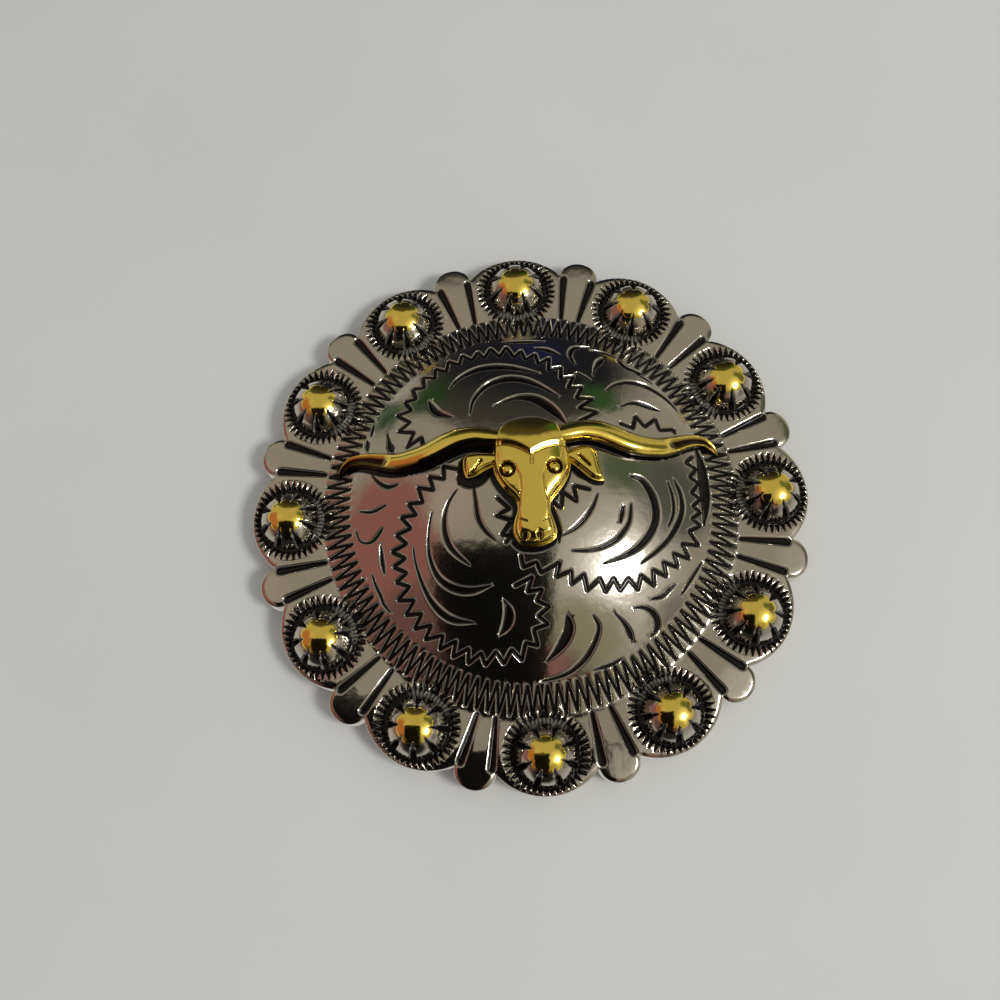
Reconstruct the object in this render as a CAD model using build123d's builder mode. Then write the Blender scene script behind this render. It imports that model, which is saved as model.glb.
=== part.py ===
from build123d import *

import os
from collections import namedtuple
from math import asin, cos, degrees, hypot, radians, sin, sqrt

# Western screw-back concho, shown lying on its back rim.
# Millimetres, +Z up out of the face, +Y towards the steer's poll.
# The origin is the middle of the plane that the concho lies on.

# Plate
plate_width = 4.9
plate_edge_thickness = 1.75
plate_fall = 0.15
pair_count = 12
petal_reach = 1.2
petal_width = 2.7
petal_root_width = 0.84
petal_neck_width = 1.66
groove_root_width = 0.38
groove_mouth_width = 0.46
groove_depth = 0.15
groove_setback = 0.2

# Band and dome
rim_radius = 12.0
band_width = 2.1
band_rise = 1.35
dome_rise = 4.0
shell_wall = 1.2
hollow_inset = 1.0

# Berries
berry_inset = 2.55
berry_radius = 2.05
berry_height = 1.35
moat_width = 0.2
moat_depth = 0.3

# Longhorn overlay
seat_gap = 0.05
head_length = 8.2
head_width = 4.6
head_relief = 1.95
head_middle = -0.2
horn_overhang = 0.6
horn_rise = 3.15
horn_width = 1.25
horn_relief = 1.3
ear_root = 2.0
ear_height = 1.45
ear_length = 2.3
ear_relief = 0.9
eye_radius = 0.42
eye_spacing = 2.95
eye_height = 0.53
eye_share = 0.62
stud_radius = 0.42
stud_reach = 4.6
stud_end = 0.3

# Screw post
post_radius = 2.75
post_setback = 0.2
post_length = 4.6
post_chamfer = 0.3
pad_radius = 3.3
spigot_radius = 1.3
spigot_length = 0.6
thread_radius = 1.73
thread_depth = 3.6

# Heights and radii that follow from the sizes above
band_outer_radius = rim_radius + band_width
outer_radius = band_outer_radius + plate_width
notch_radius = outer_radius - petal_reach
berry_ring_radius = outer_radius - berry_inset
hollow_radius = rim_radius - hollow_inset
horn_reach = rim_radius + horn_overhang
plate_top = plate_edge_thickness + plate_fall
rim_height = plate_top + band_rise
crown_height = rim_height + dome_rise
dome_radius = (rim_radius**2 + dome_rise**2) / (2 * dome_rise)
dome_centre = crown_height - dome_radius
pair_angle = 360 / pair_count
groove_end_radius = notch_radius - groove_setback
petal_notch_angle = asin(petal_width / 2 / notch_radius)
berry_notch_angle = radians(pair_angle / 2) - petal_notch_angle
disc_half_chord = notch_radius * sin(berry_notch_angle)
disc_bulge = outer_radius - notch_radius * cos(berry_notch_angle)
disc_radius = (disc_half_chord**2 + disc_bulge**2) / (2 * disc_bulge)
disc_centre = outer_radius - disc_radius
berry_base = plate_top - moat_depth
berry_rise = berry_height + moat_depth
berry_sphere = (berry_radius**2 + berry_rise**2) / (2 * berry_rise)
berry_latitude = degrees(asin((berry_sphere - berry_rise) / berry_sphere))
inner_dome_radius = dome_radius - shell_wall
hollow_height = dome_centre + sqrt(inner_dome_radius**2 - hollow_radius**2)
pad_height = post_setback + post_length + seat_gap
pad_top = dome_centre + sqrt(inner_dome_radius**2 - pad_radius**2)
sky = crown_height + head_relief


def surface_height(x, y):
    """Height of the dome, or of the band outside its rim."""
    radius = hypot(x, y)
    if radius <= rim_radius:
        return dome_centre + sqrt(dome_radius**2 - radius**2)
    share = (radius - rim_radius) / (band_outer_radius - rim_radius)
    return rim_height - share * band_rise


def dome_arc(outer, inner, radius, lift=0):
    """Arc of a dome's profile between two distances from the axis."""
    middle = (outer + inner) / 2
    return ThreePointArc(
        (outer, dome_centre + sqrt(radius**2 - outer**2) + lift),
        (middle, dome_centre + sqrt(radius**2 - middle**2) + lift),
        (inner, dome_centre + sqrt(radius**2 - inner**2) + lift),
    )


def arch(x, y, heading, half_width, floor, shoulder, crown):
    """Upright cross-section at a point of a route: flat floor, two walls and a round top."""
    run_x, run_y = heading
    place = Plane(origin=(x, y, 0), x_dir=(-run_y, run_x, 0), z_dir=(run_x, run_y, 0))
    with BuildSketch(place) as section:
        with BuildLine():
            Polyline((-half_width, shoulder), (-half_width, floor), (half_width, floor), (half_width, shoulder))
            ThreePointArc((half_width, shoulder), (0, crown), (-half_width, shoulder))
        make_face()
    return section.sketch


# Outline of one petal, from the middle of the plate to its rounded end
with BuildSketch() as petal:
    with BuildLine():
        Line((0, -petal_width / 2), (notch_radius, -petal_width / 2))
        EllipticalCenterArc(
            (notch_radius, 0), petal_reach, petal_width / 2, start_angle=-90, arc_size=180
        )
        Line((notch_radius, petal_width / 2), (0, petal_width / 2))
        Line((0, petal_width / 2), (0, -petal_width / 2))
    make_face()

# Outline of the groove beside a petal
with BuildSketch() as groove:
    with BuildLine():
        Polyline(
            (band_outer_radius, petal_root_width / 2),
            (band_outer_radius, petal_root_width / 2 + groove_root_width),
            (groove_end_radius, petal_neck_width / 2 + groove_mouth_width),
            (groove_end_radius, petal_neck_width / 2),
            close=True,
        )
    make_face()
    mirror(about=Plane.XZ)

# Plate, berries, band and dome: one casting
with BuildPart() as body:
    with BuildSketch():
        Circle(notch_radius * cos(petal_notch_angle))
        with PolarLocations(disc_centre, pair_count):
            Circle(disc_radius)
        with PolarLocations(0, pair_count, start_angle=pair_angle / 2):
            add(petal.sketch)
    extrude(amount=sky)
    with BuildSketch(Plane.XZ):
        with BuildLine():
            Polyline(
                (0, crown_height),
                (0, 0),
                (outer_radius, 0),
                (outer_radius, plate_edge_thickness),
                (band_outer_radius, plate_top),
                (rim_radius, rim_height),
            )
            add(dome_arc(rim_radius, 0, dome_radius))
        make_face()
    revolve(axis=Axis.Z, mode=Mode.INTERSECT)

    # grooves between the petals and the berry sectors
    with BuildSketch(Plane.XY.offset(plate_edge_thickness - groove_depth)):
        with PolarLocations(0, pair_count, start_angle=pair_angle / 2):
            add(groove.sketch)
    extrude(amount=groove_depth + plate_fall, mode=Mode.SUBTRACT)

    # a moat and a berry in each sector
    with BuildSketch(Plane.XY.offset(berry_base)):
        with PolarLocations(berry_ring_radius, pair_count):
            Circle(berry_radius + moat_width)
    extrude(amount=sky, mode=Mode.SUBTRACT)
    with Locations(Plane.XY.offset(berry_base)):
        with PolarLocations(berry_ring_radius, pair_count):
            Sphere(berry_sphere, arc_size1=berry_latitude, align=(Align.CENTER, Align.CENTER, Align.MIN))

    # hollow back, with a flat pad for the post in its middle
    with BuildSketch(Plane.XZ):
        with BuildLine():
            Polyline(
                (pad_radius, pad_top),
                (pad_radius, pad_height),
                (0, pad_height),
                (0, 0),
                (hollow_radius, 0),
                (hollow_radius, hollow_height),
            )
            add(dome_arc(hollow_radius, pad_radius, inner_dome_radius))
        make_face()
    revolve(axis=Axis.Z, mode=Mode.SUBTRACT)
    with BuildSketch(Plane.XY.offset(pad_height)):
        Circle(spigot_radius + seat_gap)
    extrude(amount=spigot_length + seat_gap, mode=Mode.SUBTRACT)
    with BuildSketch():
        with Locations((stud_reach, horn_rise), (-stud_reach, horn_rise)):
            Circle(stud_radius + seat_gap)
    extrude(amount=sky, mode=Mode.SUBTRACT)
body.part.label = "body"

# Form that the overlay is hollowed to, one gap above the dome and the band
with BuildPart() as seat:
    with BuildSketch(Plane.XZ):
        with BuildLine():
            Polyline(
                (0, crown_height + seat_gap),
                (0, 0),
                (band_outer_radius, 0),
                (band_outer_radius, plate_top + seat_gap),
                (rim_radius, rim_height + seat_gap),
            )
            add(dome_arc(rim_radius, 0, dome_radius, seat_gap))
        make_face()
    revolve(axis=Axis.Z)

# Cross-sections of the head from poll to muzzle. The place is a share of the head's length from its
# middle, the width a share of the head's width, and the two heights are shares of its relief.
towards_muzzle = (0, -1)
HeadSection = namedtuple("HeadSection", "place width shoulder crown")
head_sections = [
    HeadSection(0.494, 0.26, 0.25, 0.36),
    HeadSection(0.445, 0.62, 0.34, 0.66),
    HeadSection(0.354, 0.89, 0.46, 0.90),
    HeadSection(0.220, 0.94, 0.48, 1.00),
    HeadSection(0.134, 1.00, 0.45, 0.96),
    HeadSection(0.024, 0.89, 0.40, 0.90),
    HeadSection(-0.085, 0.62, 0.44, 0.86),
    HeadSection(-0.220, 0.46, 0.48, 0.82),
    HeadSection(-0.366, 0.56, 0.42, 0.80),
    HeadSection(-0.451, 0.46, 0.32, 0.66),
    HeadSection(-0.496, 0.22, 0.22, 0.40),
]
head_walls = []
for row in head_sections:
    section_y = head_middle + row.place * head_length
    dome_top = surface_height(0, section_y)
    head_walls.append(
        arch(
            0,
            section_y,
            towards_muzzle,
            row.width * head_width / 2,
            plate_top,
            dome_top + row.shoulder * head_relief,
            dome_top + row.crown * head_relief,
        )
    )

# Cross-sections of one horn from root to tip, in shares of its reach, rise, width and relief.
HornSection = namedtuple("HornSection", "reach rise width relief")
horn_sections = [
    HornSection(0.10, 0.86, 0.85, 1.00),
    HornSection(0.19, 0.95, 0.92, 1.00),
    HornSection(0.33, 1.00, 1.00, 1.00),
    HornSection(0.47, 0.88, 1.00, 0.95),
    HornSection(0.60, 0.76, 0.88, 0.90),
    HornSection(0.73, 0.78, 0.90, 0.85),
    HornSection(0.84, 0.90, 0.80, 0.80),
    HornSection(0.93, 0.96, 0.52, 0.72),
    HornSection(0.98, 0.90, 0.30, 0.64),
    HornSection(1.00, 0.80, 0.12, 0.55),
]
horn_shoulder = 0.55
horn_line = [(row.reach * horn_reach, row.rise * horn_rise) for row in horn_sections]
horn_walls = []
for index, row in enumerate(horn_sections):
    x, y = horn_line[index]
    x_before, y_before = horn_line[max(index - 1, 0)]
    x_after, y_after = horn_line[min(index + 1, len(horn_line) - 1)]
    run = hypot(x_after - x_before, y_after - y_before)
    top = surface_height(x, y)
    horn_walls.append(
        arch(
            x,
            y,
            ((x_after - x_before) / run, (y_after - y_before) / run),
            row.width * horn_width / 2,
            plate_top,
            top + horn_shoulder * row.relief * horn_relief,
            top + row.relief * horn_relief,
        )
    )

# Outlines of the ears from the root over the top to the tip and back, in shares of an ear's length.
# The steer's right ear is short and blunt, its left ear long and pointed.
EarOutline = namedtuple("EarOutline", "side upper lower")
ears = [
    EarOutline(
        -1,
        [(0, 0.20), (0.50, 0.30), (0.84, 0.25), (0.93, 0.04), (0.84, -0.38)],
        [(0.84, -0.38), (0.34, -0.24), (0, -0.08)],
    ),
    EarOutline(
        1,
        [(0, 0.20), (0.35, 0.33), (0.70, 0.36), (0.97, 0.16), (1.02, -0.25), (1.10, -0.67)],
        [(1.10, -0.67), (0.79, -0.50), (0.42, -0.34), (0, -0.12)],
    ),
]

# Flat ears cut to the dome's curve, one relief thick
with BuildPart() as ear_pair:
    with BuildSketch(Plane.XY.offset(plate_top)):
        for ear in ears:
            upper = [(ear.side * (ear_root + x * ear_length), ear_height + y * ear_length) for x, y in ear.upper]
            lower = [(ear.side * (ear_root + x * ear_length), ear_height + y * ear_length) for x, y in ear.lower]
            with BuildLine():
                Spline(*upper)
                Spline(*lower)
                Line(lower[-1], upper[0])
            make_face()
    extrude(amount=sky)
    with Locations((0, 0, dome_centre)):
        Sphere(dome_radius + ear_relief, mode=Mode.INTERSECT)

# Head, horns, ears, eyes and fixing studs: one gilt casting
with BuildPart() as steer_head:
    loft(sections=horn_walls)
    mirror(about=Plane.YZ)
    loft(sections=head_walls)
    add(ear_pair.part)
    eye_top = surface_height(eye_spacing / 2, eye_height) + eye_share * head_relief
    with Locations((eye_spacing / 2, eye_height, eye_top), (-eye_spacing / 2, eye_height, eye_top)):
        Sphere(eye_radius)
    add(seat.part, mode=Mode.SUBTRACT)
    stud_top = surface_height(stud_reach, horn_rise) + horn_shoulder * horn_relief
    stud_foot = dome_centre + sqrt(inner_dome_radius**2 - stud_reach**2 - horn_rise**2) - stud_end
    with BuildSketch(Plane.XY.offset(stud_foot)):
        with Locations((stud_reach, horn_rise), (-stud_reach, horn_rise)):
            Circle(stud_radius)
    extrude(amount=stud_top - stud_foot)
steer_head.part.label = "steer_head"

# Post for the fastening screw, seated in the pad at the back
with BuildPart() as screw_post:
    with BuildSketch(Plane.XY.offset(post_setback)):
        Circle(post_radius)
    extrude(amount=post_length)
    chamfer(screw_post.faces().sort_by(Axis.Z)[0].edges(), post_chamfer)
    with BuildSketch(Plane.XY.offset(post_setback + post_length)):
        Circle(spigot_radius)
    extrude(amount=spigot_length)
    with Locations(screw_post.faces().sort_by(Axis.Z)[0]):
        Hole(thread_radius, depth=thread_depth)
screw_post.part.label = "screw_post"

os.makedirs("parts", exist_ok=True)
export_step(body.part, "parts/body.step")
export_step(steer_head.part, "parts/steer_head.step")
export_step(screw_post.part, "parts/screw_post.step")
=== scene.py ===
from collections import namedtuple
from math import asin, atan2, cos, hypot, pi, radians, sin, sqrt

import bpy
import numpy as np
from mathutils import Matrix, Vector
from mathutils.geometry import delaunay_2d_cdt


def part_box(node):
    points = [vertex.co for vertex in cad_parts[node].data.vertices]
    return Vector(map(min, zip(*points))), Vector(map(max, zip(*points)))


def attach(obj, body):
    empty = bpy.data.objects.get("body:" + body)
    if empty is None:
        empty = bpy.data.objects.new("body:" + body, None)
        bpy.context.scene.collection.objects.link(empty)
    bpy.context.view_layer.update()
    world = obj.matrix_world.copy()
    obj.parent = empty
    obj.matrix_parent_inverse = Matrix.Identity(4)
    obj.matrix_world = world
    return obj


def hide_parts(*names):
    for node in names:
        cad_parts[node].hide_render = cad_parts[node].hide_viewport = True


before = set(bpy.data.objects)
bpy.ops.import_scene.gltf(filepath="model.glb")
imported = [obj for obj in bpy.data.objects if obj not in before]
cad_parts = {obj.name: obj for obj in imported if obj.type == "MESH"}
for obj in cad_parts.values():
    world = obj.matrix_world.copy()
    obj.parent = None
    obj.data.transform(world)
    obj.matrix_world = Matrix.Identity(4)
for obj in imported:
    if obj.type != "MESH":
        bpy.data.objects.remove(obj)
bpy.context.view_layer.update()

# Lengths are millimetres until a mesh is made. +Y points to the steer's poll, +Z out of the face.
MM = 0.001

# Sizes of the casting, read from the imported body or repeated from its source
body_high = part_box("body")[1]
outer_radius = body_high.x / MM
crown_height = body_high.z / MM
plate_edge_thickness = 1.75
plate_top = 1.9
band_outer_radius = 14.1
rim_radius = 12.0
rim_height = 3.25
dome_rise = crown_height - rim_height
dome_radius = (rim_radius**2 + dome_rise**2) / (2 * dome_rise)
dome_centre = crown_height - dome_radius
dome_wall = 1.2
hollow_radius = 11.0
inner_dome_radius = dome_radius - dome_wall
pad_radius = 3.3
pad_height = 4.85
pair_count = 12
pair_angle = 2 * pi / pair_count
petal_reach = 1.2
petal_width = 2.7
petal_root_width = 0.84
petal_neck_width = 1.66
groove_root_width = 0.38
groove_mouth_width = 0.46
groove_end_gap = 0.2
notch_radius = outer_radius - petal_reach
groove_end_radius = notch_radius - groove_end_gap
plate_crease_radius = 16.6
plate_dish = 0.035
plate_fall = 0.06
band_fillet = 0.1
plate_span = outer_radius - plate_crease_radius
plate_crest = plate_top + plate_dish * (plate_crease_radius - band_outer_radius)
plate_bend = (plate_crest - plate_edge_thickness - plate_fall * plate_span) / plate_span**2
berry_inset = 2.55
berry_ring_radius = outer_radius - berry_inset
berry_radius = 2.05
berry_base = 1.6
berry_rise = 1.65
stud_reach = 4.6
stud_height = 3.15
stud_radius = 0.42


def smooth(share):
    """Smooth step from 0 to 1."""
    share = np.clip(share, 0, 1)
    return share * share * (3 - 2 * share)


def soft_max(a, b, width):
    """The larger of two heights, with a fillet where they cross."""
    return 0.5 * (a + b + np.sqrt((a - b) ** 2 + width**2) - width)


# Outline of the plate. Each sector is an arc through two notches, and a petal's end is half an ellipse.
petal_notch_angle = asin(petal_width / 2 / notch_radius)
berry_notch_angle = pair_angle / 2 - petal_notch_angle
disc_bulge = outer_radius - notch_radius * cos(berry_notch_angle)
disc_radius = ((notch_radius * sin(berry_notch_angle)) ** 2 + disc_bulge**2) / (2 * disc_bulge)
disc_centre = outer_radius - disc_radius
sector_points = 34
petal_points = 22


def half_sector_outline():
    """Outline from the middle of a berry sector to the middle of the next petal, ends included."""
    turn = atan2(notch_radius * sin(berry_notch_angle), notch_radius * cos(berry_notch_angle) - disc_centre)
    angles = np.linspace(0, turn, sector_points // 2 + 1)
    arc = np.stack([disc_centre + disc_radius * np.cos(angles), disc_radius * np.sin(angles)], 1)
    angles = np.linspace(-pi / 2, 0, petal_points // 2 + 1)
    along = notch_radius * cos(petal_notch_angle) + petal_reach * np.cos(angles)
    along = notch_radius + (along - along[0]) * petal_reach / (along[-1] - along[0])
    along[0] = notch_radius * cos(petal_notch_angle)
    aside = petal_width / 2 * np.sin(angles)
    turned = pair_angle / 2
    end_x = along * cos(turned) - aside * sin(turned)
    end_y = along * sin(turned) + aside * cos(turned)
    return np.concatenate([arc, np.stack([end_x, end_y], 1)[1:]])


half_outline = half_sector_outline()


def full_outline():
    """Closed outline of the plate, counter-clockwise."""
    back = half_outline[::-1] * [1, -1]
    sector = np.concatenate([back[:-1], half_outline[:-1]])
    rounds = []
    for index in range(pair_count):
        turn = index * pair_angle
        turned = np.array([[cos(turn), sin(turn)], [-sin(turn), cos(turn)]])
        rounds.append(sector @ turned)
    return np.concatenate(rounds)


def fold(x, y):
    """Place of a point in the first half sector. The berry's middle line runs along u."""
    radius = np.hypot(x, y)
    angle = np.arctan2(y, x)
    turned = np.abs((angle + pair_angle / 2) % pair_angle - pair_angle / 2)
    return radius * np.cos(turned), radius * np.sin(turned)


def distance_to_path(x, y, path, closed=False):
    """Distance of points to a chain of straight runs."""
    ends = np.concatenate([path, path[:1]]) if closed else path
    best = np.full(len(x), np.inf)
    for (x0, y0), (x1, y1) in zip(ends[:-1], ends[1:]):
        run_x, run_y = x1 - x0, y1 - y0
        share = ((x - x0) * run_x + (y - y0) * run_y) / (run_x**2 + run_y**2)
        share = np.clip(share, 0, 1)
        best = np.minimum(best, (x - x0 - share * run_x) ** 2 + (y - y0 - share * run_y) ** 2)
    return np.sqrt(best)


def base_height(x, y):
    """Height of the uncut casting."""
    radius = np.hypot(x, y)
    dome = dome_centre + np.sqrt(np.maximum(dome_radius**2 - radius**2, 0))
    band = rim_height - (radius - rim_radius) * (rim_height - plate_top) / (band_outer_radius - rim_radius)
    # the plate rises a little to a faint crease, then falls to its edge
    beyond = np.maximum(radius - plate_crease_radius, 0)
    plate = plate_top + plate_dish * (np.minimum(radius, plate_crease_radius) - band_outer_radius)
    plate = plate - plate_fall * beyond - plate_bend * beyond**2
    return soft_max(np.where(radius < rim_radius, dome, band), plate, band_fillet)


# A cut is a row of straight runs with a half width at each end. Its walls are some rims wide, part straight
# and part round, and the bare share of a wall stays bright.
Run = namedtuple("Run", "x0 y0 half0 x1 y1 half1 depth rim bare")
wall_rims = 2.3
wall_straight = 0.45
narrow_cut_gain = 0.15
black_fade = 0.2
cut_bare = 0.26


def cut_depth(x, y, runs):
    """Depth of the cuts at each point, and how black the cut is there."""
    depth = np.zeros(len(x))
    black = np.zeros(len(x))
    for run in runs:
        run_x, run_y = run.x1 - run.x0, run.y1 - run.y0
        reach = max(run.half0, run.half1)
        near = (
            (x > min(run.x0, run.x1) - reach)
            & (x < max(run.x0, run.x1) + reach)
            & (y > min(run.y0, run.y1) - reach)
            & (y < max(run.y0, run.y1) + reach)
        )
        if not near.any():
            continue
        px, py = x[near], y[near]
        share = ((px - run.x0) * run_x + (py - run.y0) * run_y) / (run_x**2 + run_y**2)
        share = np.clip(share, 0, 1)
        half = run.half0 + share * (run.half1 - run.half0)
        inside = half - np.hypot(px - run.x0 - share * run_x, py - run.y0 - share * run_y)
        wall = np.minimum(half, run.rim * wall_rims)
        down = np.clip(inside / wall, 0, 1)
        down = wall_straight * down + (1 - wall_straight) * smooth(down)
        full = np.minimum(1, wall / (run.rim * wall_rims) + narrow_cut_gain)
        depth[near] = np.maximum(depth[near], run.depth * full * down)
        black[near] = np.maximum(black[near], smooth((inside / wall - run.bare) / black_fade))
    return depth, black


def zigzag_runs(corners, half, depth, rim):
    """A cut with the same width everywhere, round its corners."""
    return [
        Run(x0, y0, half, x1, y1, half, depth, rim, cut_bare)
        for (x0, y0), (x1, y1) in zip(corners[:-1], corners[1:])
    ]


def curve_through(points, steps, closed=False):
    """Points along a smooth curve through the given ones."""
    given = [np.array(p, float) for p in points]
    count = len(given)
    made = []
    spans = count if closed else count - 1
    for index in range(spans):
        p1, p2 = given[index], given[(index + 1) % count]
        p0 = given[index - 1] if closed or index else 2 * p1 - p2
        p3 = given[(index + 2) % count] if closed or index + 2 < count else 2 * p2 - p1
        for step in range(steps):
            t = step / steps
            made.append(
                0.5 * (2 * p1 + (p2 - p0) * t + (2 * p0 - 5 * p1 + 4 * p2 - p3) * t**2
                       + (3 * p1 - p0 - 3 * p2 + p3) * t**3)
            )
    if not closed:
        made.append(given[-1])
    return np.array(made)


# Engraver's strokes: greatest width, where along the stroke it is widest, and the middle line
Stroke = namedtuple("Stroke", "width widest path")
dome_strokes = [
    Stroke(0.45, 0.50, [(-4.95, 7.75), (-4.3, 8.5), (-3.2, 9.0), (-2.1, 9.1), (-1, 8.95), (0, 8.65),
                        (1, 8.25)]),
    Stroke(0.45, 0.55, [(-3.65, 5.35), (-3.45, 6.3), (-2.9, 7.1), (-2.2, 7.65), (-1.1, 7.9), (0, 7.7),
                        (1, 7.15), (2.2, 6.25)]),
    Stroke(0.65, 0.65, [(-1.95, 5.8), (-1.2, 6.1), (-0.4, 6.25), (0.5, 6.1), (1.2, 5.65), (1.9, 4.95),
                        (2.5, 4.15)]),
    Stroke(0.35, 0.50, [(1.05, 10.7), (1.8, 10.5), (2.6, 10.0)]),
    Stroke(0.35, 0.50, [(3.6, 9.1), (3.35, 9.9), (3.7, 10.7), (4.8, 10.9)]),
    Stroke(0.14, 0.50, [(5.0, 10.55), (5.8, 10.4), (6.5, 10.05)]),
    Stroke(0.45, 0.75, [(4.75, 8.15), (5.0, 8.9), (5.65, 9.8)]),
    Stroke(0.14, 0.50, [(3.5, 8.15), (3.75, 8.2), (4.55, 7.6)]),
    Stroke(0.25, 0.60, [(6.75, 9.9), (7.2, 9.2), (8.4, 8.6)]),
    Stroke(0.35, 0.50, [(5.55, 6.9), (6.2, 7.4), (7.2, 7.7), (8.2, 7.6), (9.2, 7.1), (9.9, 6.5),
                        (10.4, 5.85)]),
    Stroke(0.35, 0.60, [(6.4, 5.6), (7.4, 5.95), (9.05, 5.5)]),
    Stroke(0.25, 0.50, [(-1.2, 11.55), (0, 11.5), (1.6, 11.4)]),
    Stroke(0.45, 0.40, [(-6.45, 6.9), (-5.9, 5.85), (-4.9, 5.3)]),
    Stroke(0.45, 0.75, [(-9.35, 5.0), (-9.2, 4.2), (-8.95, 3.5)]),
    Stroke(0.25, 0.50, [(-10.85, 4.9), (-10.8, 4.1)]),
    Stroke(0.20, 0.50, [(-10.4, 6.0), (-10.55, 5.2)]),
    Stroke(0.30, 0.65, [(-10.4, 2.05), (-9.9, 1.45), (-9.3, 1.05), (-8.6, 1.05)]),
    Stroke(0.16, 0.55, [(-11.35, -0.2), (-10.45, -0.42), (-9.49, -0.2)]),
    Stroke(0.20, 0.80, [(-11.67, -1.51), (-11.41, -2.15), (-10.9, -2.41), (-10.38, -2.31), (-9.74, -1.64)]),
    Stroke(0.28, 0.55, [(-9.94, -2.79), (-9.9, -3.69), (-9.78, -4.59)]),
    Stroke(0.17, 0.55, [(-10.64, -4.53), (-10.45, -5.17), (-10.13, -5.94), (-9.98, -6.4), (-9.6, -6.95)]),
    Stroke(0.46, 0.74, [(-6.43, -1.3), (-6.62, -2.2), (-6.72, -3.1), (-6.68, -4.0), (-6.4, -4.95),
                        (-5.9, -5.65), (-5.1, -6.15), (-4.1, -6.35), (-2.9, -6.15)]),
    Stroke(0.34, 0.62, [(-4.75, 0.0), (-5.3, -0.75), (-5.6, -1.6), (-5.62, -2.6), (-5.35, -3.5),
                        (-4.85, -4.15), (-4.15, -4.8)]),
    Stroke(0.28, 0.60, [(-3.66, 0.37), (-3.58, -0.63), (-3.46, -1.93), (-3.06, -2.79), (-2.47, -3.46)]),
    Stroke(0.42, 0.72, [(-7.72, -3.3), (-7.65, -4.1), (-7.45, -5.0), (-7.15, -5.9), (-6.75, -6.7),
                        (-6.1, -7.5), (-5.3, -8.0), (-4.1, -8.25)]),
    Stroke(0.60, 0.50, [(-2.1, -7.1), (-1.85, -7.8), (-2.0, -8.5), (-2.5, -9.1)]),
    Stroke(0.62, 0.35, [(1.75, -8.2), (1.85, -8.9), (1.55, -9.6), (1.05, -10.2), (0.35, -10.83)]),
    Stroke(0.32, 0.40, [(3.42, -8.27), (3.74, -8.9), (3.49, -9.74), (2.85, -10.7), (1.88, -11.47),
                        (0.92, -11.8), (0.03, -11.95)]),
    Stroke(0.34, 0.70, [(4.83, -8.17), (5.41, -8.78), (5.73, -9.36), (5.92, -9.87)]),
    Stroke(0.42, 0.60, [(6.18, -7.82), (6.82, -7.82), (7.4, -8.2), (7.62, -8.72), (7.46, -9.17),
                        (7.14, -9.49)]),
    Stroke(0.26, 0.50, [(7.27, -7.3), (7.97, -7.1), (8.5, -6.67), (8.94, -6.35)]),
    Stroke(0.18, 0.50, [(3.3, -11.45), (4.45, -11.15), (5.15, -10.83)]),
    Stroke(0.24, 0.50, [(4.2, -0.78), (3.82, -1.6), (3.24, -2.4), (2.6, -2.96), (1.77, -3.4)]),
    Stroke(0.28, 0.40, [(6.32, -1.36), (6.13, -2.45), (5.74, -3.1), (5.1, -3.73), (4.2, -4.18),
                        (3.24, -4.37), (2.28, -4.37)]),
    Stroke(0.28, 0.50, [(5.76, -1.6), (5.66, -2.1), (5.48, -2.65)]),
    Stroke(0.50, 0.35, [(6.45, 0.43), (7.15, 0.18), (7.67, -0.6), (7.92, -1.5), (7.86, -2.4),
                        (7.41, -3.28), (6.64, -4.1), (5.62, -4.7), (4.27, -5.17)]),
    Stroke(0.36, 0.40, [(9.4, 0.44), (9.78, -0.6), (9.78, -1.6), (9.4, -2.5), (8.7, -3.5),
                        (7.73, -4.4), (6.7, -5.14)]),
    Stroke(0.18, 0.50, [(8.95, 0.18), (9.2, -0.85), (9.14, -1.87), (8.7, -2.77)]),
    Stroke(0.16, 0.50, [(10.9, -4.9), (10.3, -5.7), (9.4, -6.9)]),
    Stroke(0.18, 0.50, [(-4.45, 1.9), (-4.52, 1.1), (-4.6, 0.35)]),
    Stroke(0.25, 0.40, [(1.21, -1.5), (1.42, -2.28), (1.62, -3.1), (1.5, -3.85)]),
    Stroke(0.80, 0.50, [(11.35, 3.1), (11.58, 2.0), (11.62, 0.8), (11.6, -0.4), (11.5, -1.5), (11.3, -2.5)]),
    Stroke(0.12, 0.50, [(6.65, 9.75), (7.14, 9.05), (7.7, 8.85), (8.19, 8.45), (8.8, 8.0)]),
    Stroke(0.66, 0.45, [(-4.55, 1.2), (-4.4, 0.65), (-3.8, 0.36), (-3.1, 0.5), (-2.4, 1.0)]),
    Stroke(0.40, 0.45, [(2.45, 1.3), (2.8, 0.88), (3.15, 0.5), (3.7, 0.05)]),
]

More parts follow.
